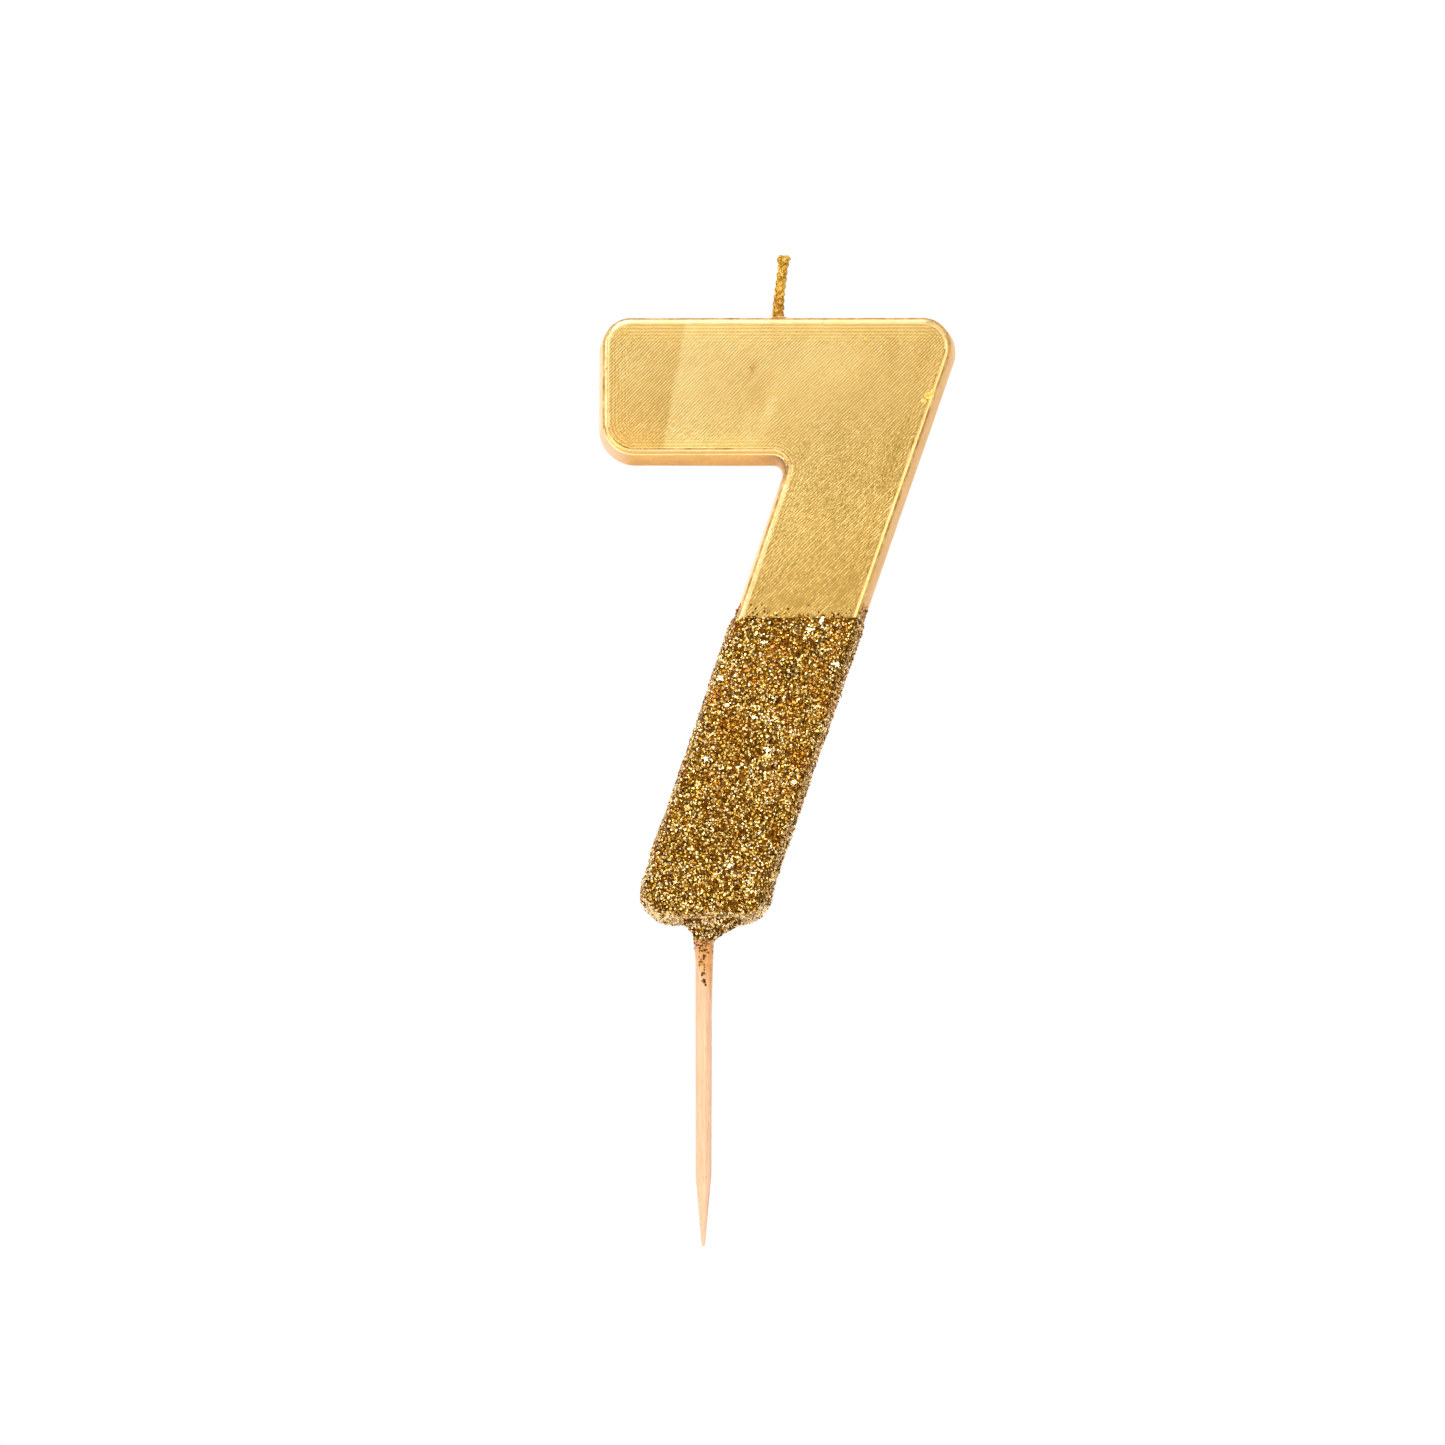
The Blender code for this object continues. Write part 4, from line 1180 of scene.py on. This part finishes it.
def glitter(name, region, count, mats=(foil_a, foil_b), **kw):
    P, N = scatter(gV, gN, gT, int(count * scale), rng, region)
    ob = flakes(name, P, N, rng, list(mats), lambda n: rng.integers(0, len(mats), n), **kw)
    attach(ob, "root")
    return ob


FINE = (0.115, 0.19)
glitter("glitter_front_a", front, 9200, size=FINE, lift=(-0.02, 0.10), tilt=0.30)
glitter("glitter_front_b", front, 6400, size=FINE, lift=(0.03, 0.16), tilt=0.55)
glitter("glitter_under", under, 3400, (foil_under, foil_under, foil_under, foil_under, foil_side), size=FINE, lift=(-0.03, 0.12), tilt=0.42)
glitter("glitter_front_dark", front, 1500, (foil_dark, foil_dark), size=(0.10, 0.17), lift=(0.08, 0.17), tilt=0.35)
glitter("glitter_sides", sides, 13500, (foil_side, foil_b, foil_under, foil_side, foil_a), size=FINE, lift=(-0.03, 0.14), tilt=0.60)
glitter("glitter_back", rear, 10500, size=FINE, lift=(-0.02, 0.14), tilt=0.42)

cT = triangles(cV, [f for f in cF if len(f) == 4])
for name, region, count, mats, size in [
        ("glitter_collar_rim", lambda c, n: ((c[:, 2] < 0.6) & (c[:, 2] > -0.62)).astype(float), 760, [foil_under, foil_under, foil_a, foil_dark], (0.10, 0.18)),
        ("glitter_collar_neck", lambda c, n: (c[:, 2] < -0.5).astype(float), 820, [foil_dark, foil_dark, foil_a, foil_b, foil_a, foil_under], (0.10, 0.18))]:
    P, N = scatter(cV, cN, cT, int(count * scale), rng, region)
    ob = flakes(name, P, N, rng, mats, lambda n, c=len(mats): rng.integers(0, c, n), size=size, lift=(-0.02, 0.12), tilt=0.5)
    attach(ob, "root")

# flakes that crept past the dip line on the face and, further, up both sides
stray_P, stray_N = [], []
for _ in range(64):
    x = rng.uniform(5.3, 18.2)
    h = rng.exponential(0.45)
    stray_P.append((x + 0.34 * h, on_face(x, DIP), DIP + 0.05 + min(h, 2.2)))
    stray_N.append((0, -1, 0))
for _ in range(260):
    s = rng.random() < 0.5
    h = rng.uniform(-0.3, 1.0) ** 1 * 1.9
    z = DIP + h
    y = rng.uniform(-4.6, 4.9)
    ins = 0.58 * (4.8 - y) / 9.0
    if s:
        x = SL[0] + SL_LEAN * (z - SL[1]) + ins * 1.055
        nn = (-0.945, 0.06, 0.31)
    else:
        x = SR[0] + SR_LEAN * (z - SR[1]) - ins * 1.055
        nn = (0.945, 0.06, -0.31)
    stray_P.append((x, y, z))
    stray_N.append(nn)
for _ in range(120):
    x = rng.uniform(3.9, 19.6)
    stray_P.append((x, 5.0, DIP + rng.exponential(0.5)))
    stray_N.append((0, 1, 0))
SPECKS = 84
for k in range(SPECKS):  # specks caught in the film on the pick: a patch, then a thin trail
    if k < 52:
        z, a = -2.05 - abs(rng.normal(0, 1.35)), rng.normal(-math.pi / 2 - 0.08, 0.45)
    elif k < 68:
        z, a = rng.uniform(-7.9, -5.0), rng.normal(-math.pi / 2 + 0.02, 0.13)
    else:
        z, a = rng.uniform(-6.6, -2.6), rng.normal(-0.35, 0.12)
    r = pick_radius(ZF + z) + 0.02 + 0.26 * max(0, 1 - (-z - 2) / 7) ** 1.7
    stray_P.append((r * math.cos(a), r * math.sin(a), z))
    stray_N.append((math.cos(a), math.sin(a), 0))
sp, sn = np.array(stray_P), np.array(stray_N)
ob = flakes("glitter_strays", sp[:-SPECKS], sn[:-SPECKS], rng, [foil_a, foil_dark], two, size=(0.11, 0.21), lift=(0.0, 0.06), tilt=0.35)
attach(ob, "root")
speck_m = flake_material("foil_in_shade", [(0.0, (0.06, 0.020, 0.001)), (0.6, (0.17, 0.065, 0.006)), (0.9, (0.40, 0.20, 0.03)), (1.0, (0.8, 0.5, 0.12))], (0.5, 0.8), 0.25, 0.0)
ob = flakes("glitter_specks_on_pick", sp[-SPECKS:], sn[-SPECKS:], rng, [speck_m], lambda n: np.zeros(n, int), size=(0.10, 0.18), lift=(0.0, 0.02), tilt=0.12, thick=0.02)
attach(ob, "root")

# ------------------------------------------------------------------ small marks on the figure
def paint_drop_material():
    m = Nodes("gold_paint_drop")
    co = m.coords()
    n = m.noise(co, 1800.0, 3.0, 0.6)
    col = m.ramp(n, [(0.3, (0.78, 0.42, 0.05)), (0.5, (0.93, 0.60, 0.11)), (0.7, (1.0, 0.78, 0.28))])
    return m.set(color=col, rough=m.range(n, 0.3, 0.7, 0.28, 0.45), metal=0.55, normal=m.bump(n, 0.00003, 0.7))


marks = []
for cx, cz, sx, sz, seed in [(28.22, 65.80, 0.58, 0.38, 1.0), (27.55, 65.10, 0.40, 0.22, 2.0), (28.62, 66.35, 0.20, 0.24, 3.0),
                             (27.30, 65.05, 0.12, 0.10, 4.0), (20.3, 72.9, 0.20, 0.16, 6.0), (19.7, 73.3, 0.14, 0.10, 7.0)]:
    marks.append(blob((cx, on_face(cx, cz), cz + ZF), (sx, 0.085, sz), seed, rough=0.35))
vv, ff = join(marks)
drops = new_object("paint_drops", np.array(vv) * MM, ff, [paint_drop_material()])
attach(drops, "root")

scratch = []
for cx, cz, r, a0, a1 in [(16.0, 57.5, 1.10, 1.15, 2.25), (15.7, 57.0, 1.25, 1.0, 1.9), (17.4, 58.0, 0.8, 0.9, 2.0), (11.9, 57.8, 0.7, 1.2, 2.3)]:
    pts = [Vector((cx + r * math.cos(a0 + (a1 - a0) * q / 10), on_face(cx, cz, 0.01), cz + ZF + 0.7 * r * math.sin(a0 + (a1 - a0) * q / 10))) for q in range(11)]
    scratch.append(tube(pts, [0.012 + 0.022 * math.sin(math.pi * q / 10) for q in range(11)], 6))
vv, ff = join(scratch)
burr = new_object("raised_scratches", np.array(vv) * MM, ff, [edge_m])
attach(burr, "root")

# tiny paint nubs along the inside of the edge, thickest at the upper right and upper left
loops = {}
nub_P, nub_N = [], []
for _ in range(230):
    ins = 1.08 + abs(rng.normal(0, 0.28))
    key_i = round(ins, 1)
    if key_i not in loops:
        loops[key_i] = figure(key_i)
    loop = loops[key_i]
    x, z = loop[rng.integers(0, len(loop))]
    near = math.exp(-((x - 29.5) / 5) ** 2 - ((z - 70) / 8) ** 2) + math.exp(-((x + 12) / 2.5) ** 2 - ((z - 70) / 5) ** 2) + 0.35
    if z < DIP + 0.3 or rng.random() > near:
        continue
    nub_P.append((x + rng.normal(0, 0.05), on_face(x, z) + (0.06 if ins < 1.15 else 0.0), z + rng.normal(0, 0.05)))
    nub_N.append((0, -1, 0))
ob = flakes("paint_nubs", np.array(nub_P), np.array(nub_N), rng, [drops.data.materials[0]], lambda n: np.zeros(n, int), size=(0.035, 0.075), lift=(0.0, 0.02), tilt=0.25, thick=0.06)
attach(ob, "root")

F = FACE_Y - 0.005
dark_P = np.array([(28.0, -4.80, 74.68), (28.06, -4.78, 74.74), (9.4, -4.84, 74.86), (9.44, -4.80, 74.95), (5.9, F, 69.3), (6.1, F, 69.0),
                   (-6.2, F, 60.2), (10.6, -4.86, 57.5), (10.75, -4.88, 57.2), (10.5, -4.6, 57.3), (10.7, -4.7, 56.6), (30.9, -4.4, 72.4),
                   (-12.3, F, 70.6), (-12.1, F, 69.2)])
corner = []
for _ in range(400):
    ins = rng.uniform(0.30, 1.3)
    loop = figure(round(ins, 1))
    x, z = loop[rng.integers(88, 124)]
    if math.hypot(x - 10.6, z - 57.2) < rng.uniform(0.3, 2.0) and len(corner) < 70:
        corner.append((x + rng.normal(0, 0.03), -4.56 - 0.33 * min(max((ins - 0.7) / 0.5, 0.0), 1.0) if ins > 0.6 else rng.uniform(-4.4, -3.0), z))
dark_P = np.concatenate([dark_P, np.array(corner)])
crumb_m = flake_material("paint_crumbs", [(0.0, (0.10, 0.034, 0.002)), (0.6, (0.24, 0.092, 0.008)), (1.0, (0.46, 0.22, 0.03))], (0.6, 0.85), 0.0, 0.0)
crumb_m.node_tree.nodes["Principled BSDF"].inputs["Specular IOR Level"].default_value = 0.05
ob = flakes("dark_specks", dark_P, np.tile(np.array([0.0, -1.0, 0.0]), (len(dark_P), 1)), rng, [crumb_m], lambda n: np.zeros(n, int),
            size=(0.04, 0.10), lift=(0.0, 0.02), tilt=0.3, thick=0.05)
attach(ob, "root")

# ------------------------------------------------------------------ camera and studio
DIST, AZ, EL = 2.6, math.radians(0.65), math.radians(-4.1)
FIELD = 0.18062  # width of the view at the candle
target = Vector((2.36, 0.0, ZF + 25.19)) * MM
to_cam = Vector((math.sin(AZ) * math.cos(EL), -math.cos(AZ) * math.cos(EL), math.sin(EL)))
cam_data = bpy.data.cameras.new("camera")
cam_data.sensor_width = 36.0
cam_data.lens = 36.0 * DIST / FIELD
cam_data.clip_end = 50.0
cam = bpy.data.objects.new("camera", cam_data)
cam.location = target + to_cam * DIST
cam.rotation_euler = (-to_cam).to_track_quat("-Z", "Y").to_euler()
bpy.context.scene.collection.objects.link(cam)
bpy.context.scene.camera = cam


def softbox(name, place, size, power, colour=(1, 1, 1), size_y=None):
    data = bpy.data.lights.new(name, "AREA")
    data.shape = "RECTANGLE"
    data.size = size
    data.size_y = size_y or size
    data.energy = power
    data.color = colour
    ob = bpy.data.objects.new(name, data)
    ob.location = Vector(place)
    d = target - ob.location
    ob.rotation_euler = d.to_track_quat("-Z", "Y").to_euler()
    ob.visible_camera = False
    bpy.context.scene.collection.objects.link(ob)
    return ob


key_place = Vector((-0.45, -1.05, 0.80))
key = softbox("key", key_place, 0.55, 6.0)
softbox("fill", (0.85, -0.9, 0.25), 0.4, 2.0)
softbox("left", (-1.05, -0.45, 0.35), 0.5, 2.0)
softbox("bounce", (-0.05, -0.55, -0.25), 0.4, 1.9, (1.0, 0.95, 0.88))
softbox("right", (0.80, -0.42, -0.17), 0.30, 0.9)
softbox("high_right", (0.58, -0.44, 0.78), 0.55, 1.0, (1.0, 0.78, 0.50))
softbox("low_left", (-0.36, -0.23, -0.14), 0.42, 0.52, (1.0, 0.84, 0.64))
softbox("top", (-0.25, -0.40, 0.98), 0.7, 3.8)
softbox("back_left", (-0.9, 0.9, 0.5), 0.6, 4.5)
softbox("back_right", (0.9, 0.8, 0.3), 0.6, 1.6)

# a few flakes turned to catch the key light
half = (to_cam + (key_place - target).normalized()).normalized()
GLINTS = [(14.8, 37.6), (13.3, 36.4), (7.5, 34.8), (16.7, 32.2), (6.3, 25.5), (3.0, 27.0), (8.0, 21.3), (11.2, 17.4), (0.3, 20.2), (3.3, 7.0), (2.2, 30.4)]
for name, each, reach, wander, size in [("glitter_glints", 1, 0.0, 0.003, (0.20, 0.26)), ("glitter_glint_halo", 8, 0.26, 0.10, (0.10, 0.15))]:
    gp, gaim = [], []
    for gx, gz in GLINTS:
        for q in range(each):
            gp.append((gx + rng.normal(0, reach + 1e-6), -5.19 - 0.03 * rng.random(), gz + rng.normal(0, reach + 1e-6)))
            gaim.append(np.array(half) + rng.normal(0, wander, 3))
    gp, gaim = np.array(gp), np.array(gaim)
    gn = np.tile(np.array([0.0, -1.0, 0.0]), (len(gp), 1))
    ob = flakes(name, gp, gn, rng, [glint_m], lambda n: np.zeros(n, int), size=size, lift=(0.06, 0.10), thick=0.012, aim=gaim)
    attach(ob, "root")

# pale floor well below, so that the candle hangs free of it
floor_m = Nodes("pale_floor")
n1 = floor_m.noise(floor_m.coords(), 6.0, 4.0)
floor_mat = floor_m.set(color=floor_m.ramp(n1, [(0.3, (0.86, 0.86, 0.86)), (0.7, (0.90, 0.90, 0.90))]), rough=0.9, spec=0.1)
gaze = floor_m.add("ShaderNodeLightPath")
floor_m.set(emission=(1.0, 1.0, 1.0), emit=floor_m.math("MULTIPLY", gaze.outputs["Is Camera Ray"], 0.33))
floor = new_object("floor", [(-6, -6, -0.28), (6, -6, -0.28), (6, 6, -0.28), (-6, 6, -0.28)], [[0, 1, 2, 3]], [floor_mat], smooth=False)

world = bpy.data.worlds.new("studio")
bpy.context.scene.world = world
world.use_nodes = True
wt = world.node_tree
wt.nodes.clear()
wo = wt.nodes.new("ShaderNodeOutputWorld")
bg = wt.nodes.new("ShaderNodeBackground")
bg2 = wt.nodes.new("ShaderNodeBackground")
lp = wt.nodes.new("ShaderNodeLightPath")
mixw = wt.nodes.new("ShaderNodeMixShader")
bg.inputs["Color"].default_value = (1.0, 0.985, 0.96, 1)
tc = wt.nodes.new("ShaderNodeTexCoord")
sep = wt.nodes.new("ShaderNodeSeparateXYZ")
mr = wt.nodes.new("ShaderNodeMapRange")
wt.links.new(tc.outputs["Generated"], sep.inputs[0])
wt.links.new(sep.outputs[1], mr.inputs["Value"])
for k, v in zip(("From Min", "From Max", "To Min", "To Max"), (-0.35, 0.35, 0.30, 0.85)):
    mr.inputs[k].default_value = v
wt.links.new(mr.outputs["Result"], bg.inputs["Strength"])
bg2.inputs["Color"].default_value = (1, 1, 1, 1)
bg2.inputs["Strength"].default_value = 1.0
wt.links.new(lp.outputs["Is Camera Ray"], mixw.inputs[0])
wt.links.new(bg.outputs[0], mixw.inputs[1])
wt.links.new(bg2.outputs[0], mixw.inputs[2])
wt.links.new(mixw.outputs[0], wo.inputs[0])
bpy.context.scene.view_settings.view_transform = "Standard"
bpy.context.scene.view_settings.look = "None"
